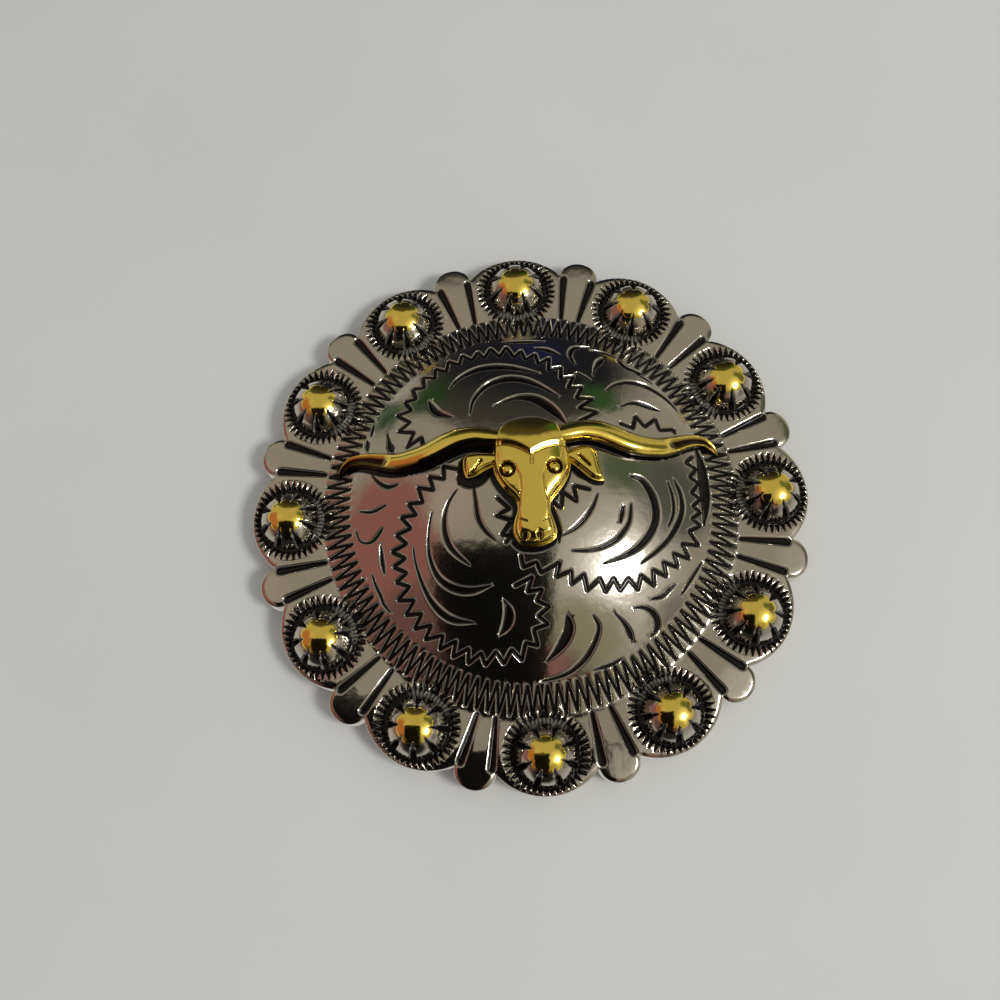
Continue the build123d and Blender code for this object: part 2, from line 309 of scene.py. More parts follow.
# Corners of the toothed lines that part the scrolls
scroll_zigzags = [
    [(-6.85, 3.6), (-6.95, 4.1), (-7.92, 3.6), (-7.47, 4.6), (-8.53, 4.95), (-7.75, 5.5), (-8.65, 6.3),
     (-7.65, 6.45), (-8.1, 7.3), (-7.35, 7.35), (-7.55, 8.3), (-6.75, 8.2), (-6.85, 9.2), (-6.0, 8.9),
     (-6.0, 9.8), (-5.2, 9.35), (-5.05, 10.3), (-4.3, 9.8), (-4.1, 10.7), (-3.4, 10.05), (-3.0, 10.8),
     (-2.55, 10.1), (-2.1, 11.0), (-1.5, 10.1), (-1.0, 11.0), (-0.5, 9.9), (0.0, 10.5), (0.25, 9.6),
     (0.95, 10.1), (1.1, 9.15), (1.87, 9.65), (1.75, 8.55), (2.6, 8.75), (2.5, 7.75), (3.35, 7.9),
     (2.92, 6.95), (3.85, 7.0), (3.4, 6.1), (4.45, 6.05), (3.5, 5.3), (4.65, 5.0), (3.4, 4.25)],
    [(6.15, 4.2), (6.95, 3.9), (7.25, 4.85), (7.8, 4.1), (8.65, 4.8), (8.85, 3.95), (9.9, 4.15), (9.9, 3.9)],
    [(-4.55, 1.4), (-5.54, 1.76), (-5.54, 0.89), (-6.47, 1.18), (-6.25, 0.25), (-7.24, 0.57), (-6.99, -0.46),
     (-7.92, -0.42), (-7.47, -1.22), (-8.43, -1.22), (-7.85, -2.03), (-8.81, -2.31), (-8.17, -2.96),
     (-9.15, -3.32), (-8.32, -3.86), (-9.08, -4.27), (-8.27, -4.78), (-8.97, -5.25), (-8.14, -5.65),
     (-8.94, -6.35), (-7.88, -6.51), (-8.46, -7.31), (-7.44, -7.37), (-7.95, -8.21), (-6.86, -8.14),
     (-7.31, -8.91), (-6.15, -8.81), (-6.4, -9.6), (-5.32, -9.23), (-5.58, -10.13), (-4.55, -9.74),
     (-4.62, -10.58), (-3.78, -10.06), (-3.53, -10.77), (-2.82, -10.06), (-2.37, -10.77), (-1.83, -10.0),
     (-1.22, -10.64), (-0.92, -9.66), (-0.17, -9.87), (-0.36, -8.91), (0.54, -8.65), (-0.04, -8.14),
     (0.67, -7.63), (-0.07, -7.24), (0.28, -6.6), (-0.62, -6.67), (-0.29, -5.83), (-1.38, -6.28)],
    [(-0.9, -4.5), (-0.81, -5.2), (0.03, -4.95), (0.28, -5.6), (1.45, -5.05), (1.21, -5.9), (2.14, -5.58),
     (2.14, -6.35), (2.94, -5.83), (3.1, -6.76), (3.94, -6.09), (4.26, -6.86), (4.83, -6.09), (5.22, -6.79),
     (5.79, -6.09), (6.37, -6.73), (6.63, -5.9), (7.46, -6.47), (7.46, -5.54), (8.33, -5.87), (8.2, -5.03),
     (9.14, -5.27), (8.95, -4.44), (9.97, -4.69), (9.59, -3.79), (10.74, -3.79), (10.15, -2.95),
     (11.0, -2.5), (10.45, -2.1), (11.1, -1.6), (10.6, -1.25), (11.2, -0.7), (10.6, -0.35), (11.2, 0.4),
     (10.6, 0.75), (11.15, 1.4), (10.45, 1.75), (11.0, 2.3)],
    [(-2.16, -0.81), (-1.45, -1.54), (-2.29, -1.92), (-1.34, -2.31), (-2.01, -3.13), (-1.5, -3.3),
     (-1.79, -3.64)],
    [(3.67, -0.5), (2.7, -0.29), (2.78, -1.27), (1.97, -0.7), (1.78, -1.66), (1.3, -1.33)],
]
zigzag_half = 0.198
zigzag_depth = 0.16
zigzag_rim = 0.065
stroke_steps = 5
stroke_least = 0.10
stroke_gain = 0.56
stroke_fullness = 0.8
stroke_rim = 0.11
stroke_depth = 0.20


def stroke_runs(stroke):
    """Runs of one stroke, which tapers to both ends."""
    path = curve_through(stroke.path, stroke_steps)
    lengths = np.hypot(*np.diff(path, axis=0).T)
    along = np.clip(np.concatenate([[0], np.cumsum(lengths)]) / lengths.sum(), 0, 1)
    skew = np.log(0.5) / np.log(stroke.widest)
    half = stroke_least + stroke_gain * stroke.width * np.sin(pi * along**skew) ** stroke_fullness
    return [
        Run(x0, y0, h0, x1, y1, h1, stroke_depth, stroke_rim, cut_bare)
        for (x0, y0), (x1, y1), h0, h1 in zip(path[:-1], path[1:], half[:-1], half[1:])
    ]


dome_runs = []
for stroke in dome_strokes:
    dome_runs += stroke_runs(stroke)
for corners in scroll_zigzags:
    dome_runs += zigzag_runs(corners, zigzag_half, zigzag_depth, zigzag_rim)

# Zigzag band: ten teeth to a sector, with an outer corner on each berry's middle line
sector_teeth = 10
band_inner_corner = 12.18
band_outer_corner = 13.98
band_half = 0.175
band_depth = 0.22
band_rim = 0.07


def band_runs(first, count):
    """Runs of the band, as many half teeth as are asked for, from a half tooth's number on."""
    corners = []
    for index in range(first, first + count + 1):
        angle = index * pair_angle / (2 * sector_teeth)
        radius = band_inner_corner if index % 2 else band_outer_corner
        corners.append((radius * cos(angle), radius * sin(angle)))
    return zigzag_runs(corners, band_half, band_depth, band_rim)


# Milled ring round each berry: notches that taper outward from a black moat, and fine ribs in the moat
ring_centre = 16.36
ring_teeth = 40
ring_inner = 2.40
ring_outer = 2.82
ring_level = 1.86
ring_reach = 2.84
collar_fade = 0.03
notch_half = 0.165
notch_tip_half = 0.03
notch_depth = 0.20
notch_rim = 0.03
notch_bare = 0.1
notch_margin = 0.14
notch_step = 0.02
moat_radius = 2.34
moat_lip = 0.06
moat_wall = 0.1
moat_ribs = 52
rib_height = 0.09
rib_side = 0.2


def ring_runs():
    """Notches of one milled ring, round its berry's place in the first sector."""
    runs = []
    most = disc_radius - notch_margin
    for index in range(ring_teeth):
        angle = (index + 0.5) * 2 * pi / ring_teeth
        reach = ring_outer
        while hypot(ring_centre + reach * cos(angle) - disc_centre, reach * sin(angle)) > most:
            reach -= notch_step
        root, tip = [(ring_centre + r * cos(angle), r * sin(angle)) for r in (ring_inner, reach)]
        runs.append(Run(*root, notch_half, *tip, notch_tip_half, notch_depth, notch_rim, notch_bare))
    return runs


# Groove beside each petal, along the petal's own middle line
groove_depth = 0.17
groove_rim = 0.11
groove_bare = 0.22
groove_root_half = 0.24
groove_root_gap = 0.2
groove_mouth_half = 0.37
groove_mouth_gap = 0.16
groove_mouth_shift = 0.04


def groove_run():
    """The groove in the first half sector, beside the petal."""
    turned = pair_angle / 2
    root_aside = (petal_root_width + groove_root_width) / 2
    mouth_aside = (petal_neck_width + groove_mouth_width) / 2 - groove_mouth_shift
    ends = []
    for along, aside, half in (
        (band_outer_radius + groove_root_gap, root_aside, groove_root_half),
        (groove_end_radius - groove_mouth_gap, mouth_aside, groove_mouth_half),
    ):
        x = along * cos(turned) + aside * sin(turned)
        y = along * sin(turned) - aside * cos(turned)
        ends.append((x, y, half))
    return [Run(*ends[0], *ends[1], groove_depth, groove_rim, groove_bare)]


# the first half sector's runs, with the neighbours' teeth that reach into it
sector_runs = band_runs(-1, sector_teeth + 3) + ring_runs() + groove_run()
engraved_radius = rim_radius + 0.6
bevel_width = 0.24
bevel_slope = 0.52
bevel_fillet = 0.06
edge_round = 0.07


def ring_relief(height, u, v):
    """Height with the level collar and the moat of a milled ring, and how black it is."""
    away = np.hypot(u - ring_centre, v)
    collar = smooth((ring_reach + collar_fade - away) / (2 * collar_fade))
    height = height + (np.minimum(height, ring_level) - height) * collar
    moat = smooth((moat_radius + moat_lip - away) / moat_wall)
    around = np.arctan2(v, u - ring_centre)
    # the ribs show on the side of the concho's middle, and their tops are worn less black
    rib = (0.5 + 0.5 * np.cos(around * moat_ribs)) * smooth(-rib_side - np.cos(around))
    height = height + (berry_base + rib_height * rib - height) * moat
    return height, moat * (1 - 0.4 * smooth((rib - 0.45) / 0.3))


def body_surface(x, y):
    """Height of the finished face and how black it is."""
    u, v = fold(x, y)
    height, black = ring_relief(base_height(x, y), u, v)
    depth, cut = cut_depth(u, v, sector_runs)
    inner = np.hypot(x, y) < engraved_radius
    if inner.any():
        more, more_cut = cut_depth(x[inner], y[inner], dome_runs)
        depth[inner] = np.maximum(depth[inner], more)
        cut[inner] = np.maximum(cut[inner], more_cut)
    height = height - depth
    black = np.maximum(black, cut)
    # soft bevel and rounded edge
    inside = distance_to_path(u, v, half_outline)
    bevel = bevel_width - inside
    height = height - bevel_slope * 0.5 * (bevel + np.sqrt(bevel**2 + bevel_fillet**2))
    drop = np.clip(1 - inside / edge_round, 0, 1)
    height = height - edge_round * (1 - np.sqrt(1 - drop**2))
    return height, black


# Shares of a cut's wall that the mesh follows, the first of them a little outside its rim
wall_shares = (0, 0.3, 0.6, 1)
rim_shares = (-0.12, *wall_shares)
notch_shares = (0, 0.5)


def run_lines(runs, shares):
    """Points and edges that follow the runs' sides and middles, so that the mesh keeps the cuts sharp."""
    points = []
    edges = []
    for run in runs:
        length = hypot(run.x1 - run.x0, run.y1 - run.y0)
        side = np.array([-(run.y1 - run.y0), run.x1 - run.x0]) / length
        start, stop = np.array([run.x0, run.y0]), np.array([run.x1, run.y1])
        walls = [min(run.half0, run.rim * wall_rims), min(run.half1, run.rim * wall_rims)]
        offsets = [(run.half0 - s * walls[0], run.half1 - s * walls[1]) for s in shares]
        offsets += [(-a, -b) for a, b in offsets] + [(0, 0)]
        for a, b in offsets:
            edges.append((len(points), len(points) + 1))
            points.append(start + a * side)
            points.append(stop + b * side)
    return points, edges


def gather(parts):
    """Several sets of points and edges as one."""
    points, edges = [], []
    start = 0
    for part_points, part_edges in parts:
        edges += [(a + start, b + start) for a, b in part_edges]
        points.append(np.array(part_points))
        start += len(part_points)
    return np.concatenate(points), edges


def turned_copies(points, edges, count):
    """Copies of points and edges turned round the middle."""
    copies = []
    for index in range(count):
        turn = index * 2 * pi / count
        turned = np.array([[cos(turn), sin(turn)], [-sin(turn), cos(turn)]])
        copies.append((np.array(points) @ turned, edges))
    return gather(copies)


def circle_points(x, y, radius, count, phase=0.0):
    """Points round a circle. The radius may be a list, with one for each point."""
    angles = np.arange(count) * 2 * pi / count + phase
    return np.stack([x + radius * np.cos(angles), y + radius * np.sin(angles)], 1)


def lattice(low, high, spacing):
    """Points of a triangular lattice over a box."""
    rows = []
    step = spacing * sqrt(3) / 2
    for index, y in enumerate(np.arange(low[1], high[1], step)):
        x = np.arange(low[0], high[0], spacing) + (spacing / 2 if index % 2 else 0)
        rows.append(np.stack([x, np.full(len(x), y)], 1))
    return np.concatenate(rows)


def inside_outline(points, outline):
    """Which points lie inside a closed outline."""
    x, y = points[:, 0], points[:, 1]
    odd = np.zeros(len(points), bool)
    for (x0, y0), (x1, y1) in zip(outline, np.roll(outline, -1, axis=0)):
        if y0 == y1:
            continue
        crosses = (y0 > y) != (y1 > y)
        odd ^= crosses & (x < (x1 - x0) * (y - y0) / (y1 - y0) + x0)
    return odd


def outward_of(outline):
    """Unit vectors that point out of a closed outline that runs counter-clockwise."""
    along = np.roll(outline, -1, axis=0) - np.roll(outline, 1, axis=0)
    outward = np.stack([along[:, 1], -along[:, 0]], 1)
    return outward / np.linalg.norm(outward, axis=1)[:, None]


def at_height(points, height):
    """Flat points set at one height, or each at its own."""
    return np.column_stack([points, np.broadcast_to(height, len(points))])


def triangulate(border, points, edges):
    """Triangles inside a closed border. Gives the points, the triangles and where the given points went."""
    count = len(border)
    every = np.concatenate([border, points]) if len(points) else border
    joined = [(i, (i + 1) % count) for i in range(count)]
    joined += [(a + count, b + count) for a, b in edges]
    made = delaunay_2d_cdt([Vector(p) for p in every.tolist()], joined, [], 1, 1e-6)
    flat = np.array([tuple(p) for p in made[0]])
    triangles = np.array([f for f in made[2] if len(f) == 3])
    a, b, c = flat[triangles[:, 0]], flat[triangles[:, 1]], flat[triangles[:, 2]]
    area = (b[:, 0] - a[:, 0]) * (c[:, 1] - a[:, 1]) - (b[:, 1] - a[:, 1]) * (c[:, 0] - a[:, 0])
    triangles[area < 0] = triangles[area < 0][:, ::-1]
    place = np.full(len(every), -1)
    for index, origin in enumerate(made[3]):
        for source in origin:
            place[source] = index
    return flat, triangles, place


def surface_normals(surface, x, y, step=0.008):
    """Upward normals of a height function."""
    slope_x = (surface(x + step, y)[0] - surface(x - step, y)[0]) / (2 * step)
    slope_y = (surface(x, y + step)[0] - surface(x, y - step)[0]) / (2 * step)
    normals = np.stack([-slope_x, -slope_y, np.ones(len(x))], 1)
    return normals / np.linalg.norm(normals, axis=1)[:, None]


class Skin:
    """Vertices, faces, blackness and normals of a mesh in millimetres."""

    def __init__(self):
        self.vertices, self.faces, self.cut, self.normals = [], [], [], []

    def add(self, points, cut=0.0, normals=(0, 0, 0)):
        """Add points and give their numbers. Normals of zero length are left to Blender."""
        first = len(self.vertices)
        count = len(points)
        self.vertices += np.asarray(points, float).tolist()
        self.cut += np.broadcast_to(cut, count).tolist()
        self.normals += np.broadcast_to(np.asarray(normals, float), (count, 3)).tolist()
        return np.arange(first, first + count)

    def join(self, upper, lower):
        """Wall between two rings that run counter-clockwise, seen from above."""
        for i in range(len(upper)):
            j = (i + 1) % len(upper)
            self.faces.append((upper[i], lower[i], lower[j], upper[j]))

    def stack(self, rings):
        """Walls between rings, given from the top one to the lowest."""
        for upper, lower in zip(rings[:-1], rings[1:]):
            self.join(upper, lower)

    def fan(self, ring, point, cut=0.0):
        """Triangles from a ring to a new point."""
        middle = self.add([point], cut)[0]
        for i in range(len(ring)):
            self.faces.append((ring[i], ring[(i + 1) % len(ring)], middle))


def place_object(name, data):
    """New object in the scene."""
    made = bpy.data.objects.new(name, data)
    bpy.context.scene.collection.objects.link(made)
    return made


sharp_angle = radians(38)


def make_object(name, skin, material):
    """Object from a skin."""
    mesh = bpy.data.meshes.new(name)
    faces = [tuple(int(i) for i in face) for face in skin.faces]
    mesh.from_pydata((np.array(skin.vertices) * MM).tolist(), [], faces)
    mesh.update()
    mesh.shade_smooth()
    mesh.set_sharp_from_angle(angle=sharp_angle)
    if any(skin.cut):
        layer = mesh.attributes.new("cut", "FLOAT", "POINT")
        layer.data.foreach_set("value", np.array(skin.cut, np.float32))
    if np.any(skin.normals):
        mesh.normals_split_custom_set_from_vertices(skin.normals)
    mesh.materials.append(material)
    return place_object(name, mesh)


# Materials
def new_material(name, metallic=1.0):
    """Node material, a metal one where nothing else is said. Gives it, its nodes, links and shader."""
    material = bpy.data.materials.new(name)
    material.use_nodes = True
    nodes = material.node_tree.nodes
    shader = nodes["Principled BSDF"]
    shader.inputs["Metallic"].default_value = metallic
    return material, nodes, material.node_tree.links, shader


def noise(nodes, links, scale, detail, name):
    """Noise in object coordinates. The scale is in waves per metre."""
    place = nodes.new("ShaderNodeTexCoord")
    texture = nodes.new("ShaderNodeTexNoise")
    texture.label = name
    texture.inputs["Scale"].default_value = scale
    texture.inputs["Detail"].default_value = detail
    links.new(place.outputs["Object"], texture.inputs["Vector"])
    return texture


def ramp(nodes, links, source, low, high, out_low, out_high):
    """Map a value from one range to another."""
    made = nodes.new("ShaderNodeMapRange")
    made.inputs["From Min"].default_value = low
    made.inputs["From Max"].default_value = high
    made.inputs["To Min"].default_value = out_low
    made.inputs["To Max"].default_value = out_high
    links.new(source, made.inputs["Value"])
    return made.outputs["Result"]


def blend_colour(nodes, links, factor, first, second):
    """Mix of two colours, each a colour or a socket."""
    mix = nodes.new("ShaderNodeMix")
    mix.data_type = "RGBA"
    links.new(factor, mix.inputs["Factor"])
    for socket, value in ((mix.inputs["A"], first), (mix.inputs["B"], second)):
        if isinstance(value, tuple):
            socket.default_value = (*value, 1)
        else:
            links.new(value, socket)
    return mix.outputs["Result"]


def add_bump(nodes, links, shader, height, distance):
    """Bump of a height in metres on a shader."""
    bump = nodes.new("ShaderNodeBump")
    bump.inputs["Distance"].default_value = distance
    bump.inputs["Strength"].default_value = 1.0
    links.new(height, bump.inputs["Height"])
    links.new(bump.outputs["Normal"], shader.inputs["Normal"])


def antiqued_nickel():
    """Bright nickel plate with a faint wave from polishing, blackened in the cuts."""
    material, nodes, links, shader = new_material("antiqued_nickel")
    layer = nodes.new("ShaderNodeAttribute")
    layer.attribute_name = "cut"
    cut = layer.outputs["Fac"]
    wave = noise(nodes, links, 900, 2.0, "polishing wave")
    fine = noise(nodes, links, 9000, 4.0, "fine grain")
    tint = blend_colour(nodes, links, wave.outputs["Fac"], (0.53, 0.50, 0.44), (0.48, 0.45, 0.39))
    pits = ramp(nodes, links, fine.outputs["Fac"], 0.70, 0.76, 0.0, 0.6)
    worn = nodes.new("ShaderNodeMath")
    worn.operation = "MAXIMUM"
    links.new(cut, worn.inputs[0])
    links.new(pits, worn.inputs[1])
    colour = blend_colour(nodes, links, worn.outputs[0], tint, (0.004, 0.003, 0.003))
    links.new(colour, shader.inputs["Base Color"])
    links.new(ramp(nodes, links, cut, 0, 1, 1.0, 0.0), shader.inputs["Metallic"])
    shader.inputs["Specular IOR Level"].default_value = 0.22
    links.new(ramp(nodes, links, fine.outputs["Fac"], 0.3, 0.7, 0.10, 0.16), shader.inputs["Roughness"])
    rough = nodes.new("ShaderNodeMath")
    rough.operation = "MULTIPLY_ADD"
    rough.inputs[1].default_value = 0.10
    links.new(fine.outputs["Fac"], rough.inputs[0])
    links.new(wave.outputs["Fac"], rough.inputs[2])
    add_bump(nodes, links, shader, rough.outputs[0], 0.00002)
    return material


def gilt(name, darkened):
    """Bright gold plate, browner where the cut attribute marks a hollow, and where it carries painted shade
    and painted reflection.
    """
    material, nodes, links, shader = new_material(name)
    wave = noise(nodes, links, 1100, 2.0, "polishing wave")
    fine = noise(nodes, links, 12000, 3.0, "fine grain")
    colour = blend_colour(nodes, links, wave.outputs["Fac"], (0.96, 0.76, 0.17), (0.90, 0.68, 0.13))
    if darkened:
        layer = nodes.new("ShaderNodeAttribute")
        layer.attribute_name = "cut"
        colour = blend_colour(nodes, links, layer.outputs["Fac"], colour, (0.03, 0.012, 0.006))
    links.new(colour, shader.inputs["Base Color"])
    links.new(ramp(nodes, links, fine.outputs["Fac"], 0.3, 0.7, 0.08, 0.15), shader.inputs["Roughness"])
    add_bump(nodes, links, shader, wave.outputs["Fac"], 0.00002)
    return material


def plain_nickel():
    """Turned and plated, with faint rings from the lathe."""
    material, nodes, links, shader = new_material("plain_nickel")
    place = nodes.new("ShaderNodeTexCoord")
    rings = nodes.new("ShaderNodeTexWave")
    rings.wave_type = "RINGS"
    rings.rings_direction = "Z"
    rings.inputs["Scale"].default_value = 2500
    rings.inputs["Distortion"].default_value = 1.5
    links.new(place.outputs["Object"], rings.inputs["Vector"])
    stain = noise(nodes, links, 700, 3.0, "stain")
    colour = blend_colour(nodes, links, stain.outputs["Fac"], (0.62, 0.60, 0.56), (0.45, 0.42, 0.38))
    links.new(colour, shader.inputs["Base Color"])
    links.new(ramp(nodes, links, stain.outputs["Fac"], 0.3, 0.7, 0.22, 0.4), shader.inputs["Roughness"])
    add_bump(nodes, links, shader, rings.outputs["Fac"], 0.000004)
    return material


nickel = antiqued_nickel()
head_gold = gilt("gilt_overlay", True)
cap_gold = gilt("gilt_caps", False)
post_nickel = plain_nickel()


# Body. Black oxide in the corner that the overlay makes with the dome, and painted shade that pushes it to
# the overlay's lower left and widens it under the left horn.
oxide_and_shade_shift = np.array([0.12, 0.12])
head_oxide_and_shade = 0.32
ear_oxide_and_shade = 0.18
left_horn_oxide_and_shade = 0.22
right_horn_oxide_and_shade = 0.10
oxide_and_shade_fade = 0.45


def oxide_and_shade(x, y, outlines):
    """How black the dome is round the overlay: oxide with painted shade."""
    dark = np.zeros(len(x))
    near = np.hypot(x, y) < band_outer_radius
    spots = np.stack([x[near], y[near]], 1) + oxide_and_shade_shift
    for outline, reach in outlines:
        away = distance_to_path(spots[:, 0], spots[:, 1], outline, closed=True)
        covered = inside_outline(spots, outline)
        edge = smooth((reach - away) / (oxide_and_shade_fade * reach))
        dark[near] = np.maximum(dark[near], np.where(covered, 1, edge))
    return dark


# Rings of loose points that keep the face's edges crisp, and the lattice between them
groove_end_points = 14
edge_insets = (0.02, 0.045, edge_round, 0.13, 0.19, bevel_width, 0.3)
berry_foot_circles = (2.0, 2.12, moat_radius - 0.06, moat_radius - 0.02, moat_radius + 0.03)
collar_circles = (ring_reach - collar_fade, ring_reach, ring_reach + collar_fade)
collar_points = 110
under_berry_radius = 1.6
under_berry_points = 24
corner_circles = (0.4 * zigzag_half, 0.75 * zigzag_half, zigzag_half, zigzag_half + 0.02)
corner_points = 12
dome_foot_points = 240
band_foot_points = 360
face_spacing = 0.36
edge_clearance = 0.02


def groove_lines():
    """Points and edges along the two grooves of the first sector, with rings round their ends."""
    points, edges = run_lines(groove_run(), rim_shares)
    for run in groove_run():
        for share in rim_shares:
            wall = share * groove_rim * wall_rims
            points += list(circle_points(run.x1, run.y1, run.half1 - wall, groove_end_points))
            points += list(circle_points(run.x0, run.y0, run.half0 - wall, groove_end_points))
    mirrored = [(x, -y) for x, y in points]
    return gather([(points, edges), (mirrored, edges)])


def cut_lines():
    """Points and edges along all the cuts of the face."""
    return gather([
        run_lines(dome_runs, rim_shares),
        turned_copies(*run_lines(band_runs(0, 2 * sector_teeth), wall_shares), pair_count),
        turned_copies(*run_lines(ring_runs(), notch_shares), pair_count),
        turned_copies(*groove_lines(), pair_count),
    ])


def face_points(border, outward, outlines):
    """Loose points of the face, inside its outline."""
    loose = []
    for inset in edge_insets:
        ring = border - outward * inset
        u, v = fold(ring[:, 0], ring[:, 1])
        loose.append(ring[distance_to_path(u, v, half_outline) > inset * 0.93])
    for index in range(pair_count):
        turn = index * pair_angle
        x, y = ring_centre * cos(turn), ring_centre * sin(turn)
        for radius in berry_foot_circles:
            loose.append(circle_points(x, y, radius, 2 * moat_ribs, turn))
        for radius in collar_circles:
            loose.append(circle_points(x, y, radius, collar_points))
        loose.append(circle_points(x, y, under_berry_radius, under_berry_points))
    for corners in scroll_zigzags:
        for x, y in corners:
            for radius in corner_circles:
                loose.append(circle_points(x, y, radius, corner_points))
    loose.append(circle_points(0, 0, rim_radius, dome_foot_points))
    for radius in (band_outer_radius, band_outer_radius + band_fillet, band_outer_radius - band_fillet):
        loose.append(circle_points(0, 0, radius, band_foot_points))
    # points along the edges of the oxide and painted shade round the overlay
    for outline, full_reach in outlines:
        across = outward_of(outline)
        for reach in (full_reach * (1 - oxide_and_shade_fade), full_reach):
            loose += [outline + across * reach - oxide_and_shade_shift, outline - across * reach - oxide_and_shade_shift]
    corner = np.array([outer_radius, outer_radius])
    loose.append(lattice(-corner, corner, face_spacing))
    loose = np.concatenate(loose)
    u, v = fold(loose[:, 0], loose[:, 1])
    return loose[inside_outline(loose, border) & (distance_to_path(u, v, half_outline) > edge_clearance)]


foot_bevel = 0.1
foot_bevel_height = 0.12
mouth_bevel = 0.12
hollow_turns = 180
back_circles = (12.5, 14.0, 15.5)
back_circle_points = 160
back_phase = 0.01
hollow_corner = 0.35
vault_steps = 12
pad_corner = 0.1
post_seat_radius = 1.35
post_seat_depth = 0.6
post_seat_bevel = 0.05


def add_back(skin, border, outward, edge):
    """Side wall, bevelled foot and flat rim at the back. Gives the ring at the mouth of the hollow."""
    wall = skin.add(at_height(border, foot_bevel_height), normals=at_height(outward, 0))
    foot_outline = border - outward * foot_bevel
    foot = skin.add(at_height(foot_outline, 0))
    skin.stack([edge, wall, foot])
    mouth = circle_points(0, 0, hollow_radius + mouth_bevel, hollow_turns)
    between = [circle_points(0, 0, radius, back_circle_points, back_phase) for radius in back_circles]
    chain = [(i, (i + 1) % hollow_turns) for i in range(hollow_turns)]
    flat, triangles, place = triangulate(foot_outline, np.concatenate([mouth, *between]), chain)
    ring = skin.add(at_height(mouth, 0))
    numbers = np.full(len(flat), -1)
    numbers[place[:len(foot) + len(ring)]] = np.concatenate([foot, ring])
    spare = np.flatnonzero(numbers < 0)
    numbers[spare] = skin.add(at_height(flat[spare], 0))
    middle = flat[triangles].mean(axis=1)
    for triangle in triangles[~inside_outline(middle, mouth)]:
        skin.faces.append(tuple(numbers[triangle[::-1]]))
    return ring


def vault_height(radius):
    """Height of the dome's inner side."""
    return dome_centre + sqrt(inner_dome_radius**2 - radius**2)


def hollow_profile():
    """Radius and height up the wall of the hollow, along its vault, down the pad and up the post's seat."""
    wall_top = vault_height(hollow_radius)
    profile = [
        (hollow_radius + mouth_bevel / 4, mouth_bevel / 4),
        (hollow_radius, mouth_bevel),
        (hollow_radius, wall_top - hollow_corner),
        (hollow_radius - 0.08, wall_top - 0.12),
        (hollow_radius - hollow_corner, wall_top + 0.08),
    ]
    for radius in np.linspace(hollow_radius - 0.9, pad_radius + 0.35, vault_steps):
        profile.append((radius, vault_height(radius)))
    pad_top = vault_height(pad_radius)
    return profile + [
        (pad_radius + pad_corner, pad_top - 0.03),
        (pad_radius, pad_top - 0.2),
        (pad_radius, pad_height + pad_corner),
        (pad_radius - pad_corner, pad_height),
        (post_seat_radius + 0.01, pad_height),
        (post_seat_radius, pad_height + post_seat_bevel),
        (post_seat_radius, pad_height + post_seat_depth),
    ]


def make_body(outlines):
    """The casting: engraved face, rounded edge, flat back rim and hollow."""
    border = full_outline()
    outward = outward_of(border)
    cut_points, edges = cut_lines()
    inner = np.concatenate([cut_points, face_points(border, outward, outlines)])
    flat, triangles, place = triangulate(border, inner, edges)
    edge = place[:len(border)]
    if (edge < 0).any():
        raise ValueError("the outline's points were lost")
    x, y = flat.T
    height, black = body_surface(x, y)
    normals = surface_normals(body_surface, x, y)
    normals[edge] = at_height(outward, 0)
    skin = Skin()
    # blackness of the face: antiquing in the cuts and the moat, and oxide with painted shade round the
    # overlay
    skin.add(at_height(flat, height), np.maximum(black, oxide_and_shade(x, y, outlines)), normals)
    skin.faces += triangles.tolist()
    rings = [add_back(skin, border, outward, edge)]
    for radius, z in hollow_profile():
        rings.append(skin.add(at_height(circle_points(0, 0, radius, hollow_turns), z)))
    skin.stack(rings[::-1])
    skin.fan(rings[-1], (0, 0, pad_height + post_seat_depth))
    return make_object("body_casting", skin, nickel)


# Berries: one pattern, set round the ring by Geometry Nodes
berry_sphere = (berry_radius**2 + berry_rise**2) / (2 * berry_rise)
berry_centre = berry_base + berry_rise - berry_sphere
berry_underside = berry_base - 0.02
berry_circles = [0.4, 0.9, 0.98, 1.04, 1.1, 1.2, 1.28, *np.linspace(1.36, 1.96, 9), 2.0, 2.04]
slot_count = 8
slot_period = 2 * pi / slot_count
slot_root = 0.98
slot_root_half = 0.07
slot_mouth_half = 0.22
slot_root_depth = 0.16
slot_mouth_depth = 0.64
berry_turns = 16 * slot_count
berry_angles = np.arange(berry_turns) * 2 * pi / berry_turns
cap_radius = 1.17
cap_scallop = 0.03
cap_nick = 0.17
cap_nick_half = 0.13
cap_lift = 0.03
cap_thickness = 0.3
# share of the cap's reach and height over the berry, from near its middle to its edge and in under it
cap_rings = [
    (0.2, cap_lift), (0.4, cap_lift), (0.6, cap_lift), (0.78, cap_lift), (0.9, 0.028), (0.97, 0.016),
    (1.0, 0.0), (0.98, -0.05),
]


def berry_height(radius):
    """Height of a berry's dome over the berry's middle."""
    return berry_centre + np.sqrt(np.maximum(berry_sphere**2 - radius**2, 0))


def from_slot(radius):
    """Distance from the nearest slot's middle line, for the points of a ring."""
    return np.abs(berry_angles % slot_period - slot_period / 2) * radius


def slot_share(radius):
    """How deep in a slot the points of a ring lie, from 0 to 1."""
    half = slot_root_half + (slot_mouth_half - slot_root_half) * smooth((radius - 1.1) / 0.6)
    return smooth((half - from_slot(radius)) / (0.5 * half) + 0.2) * smooth((radius - slot_root) / 0.10)


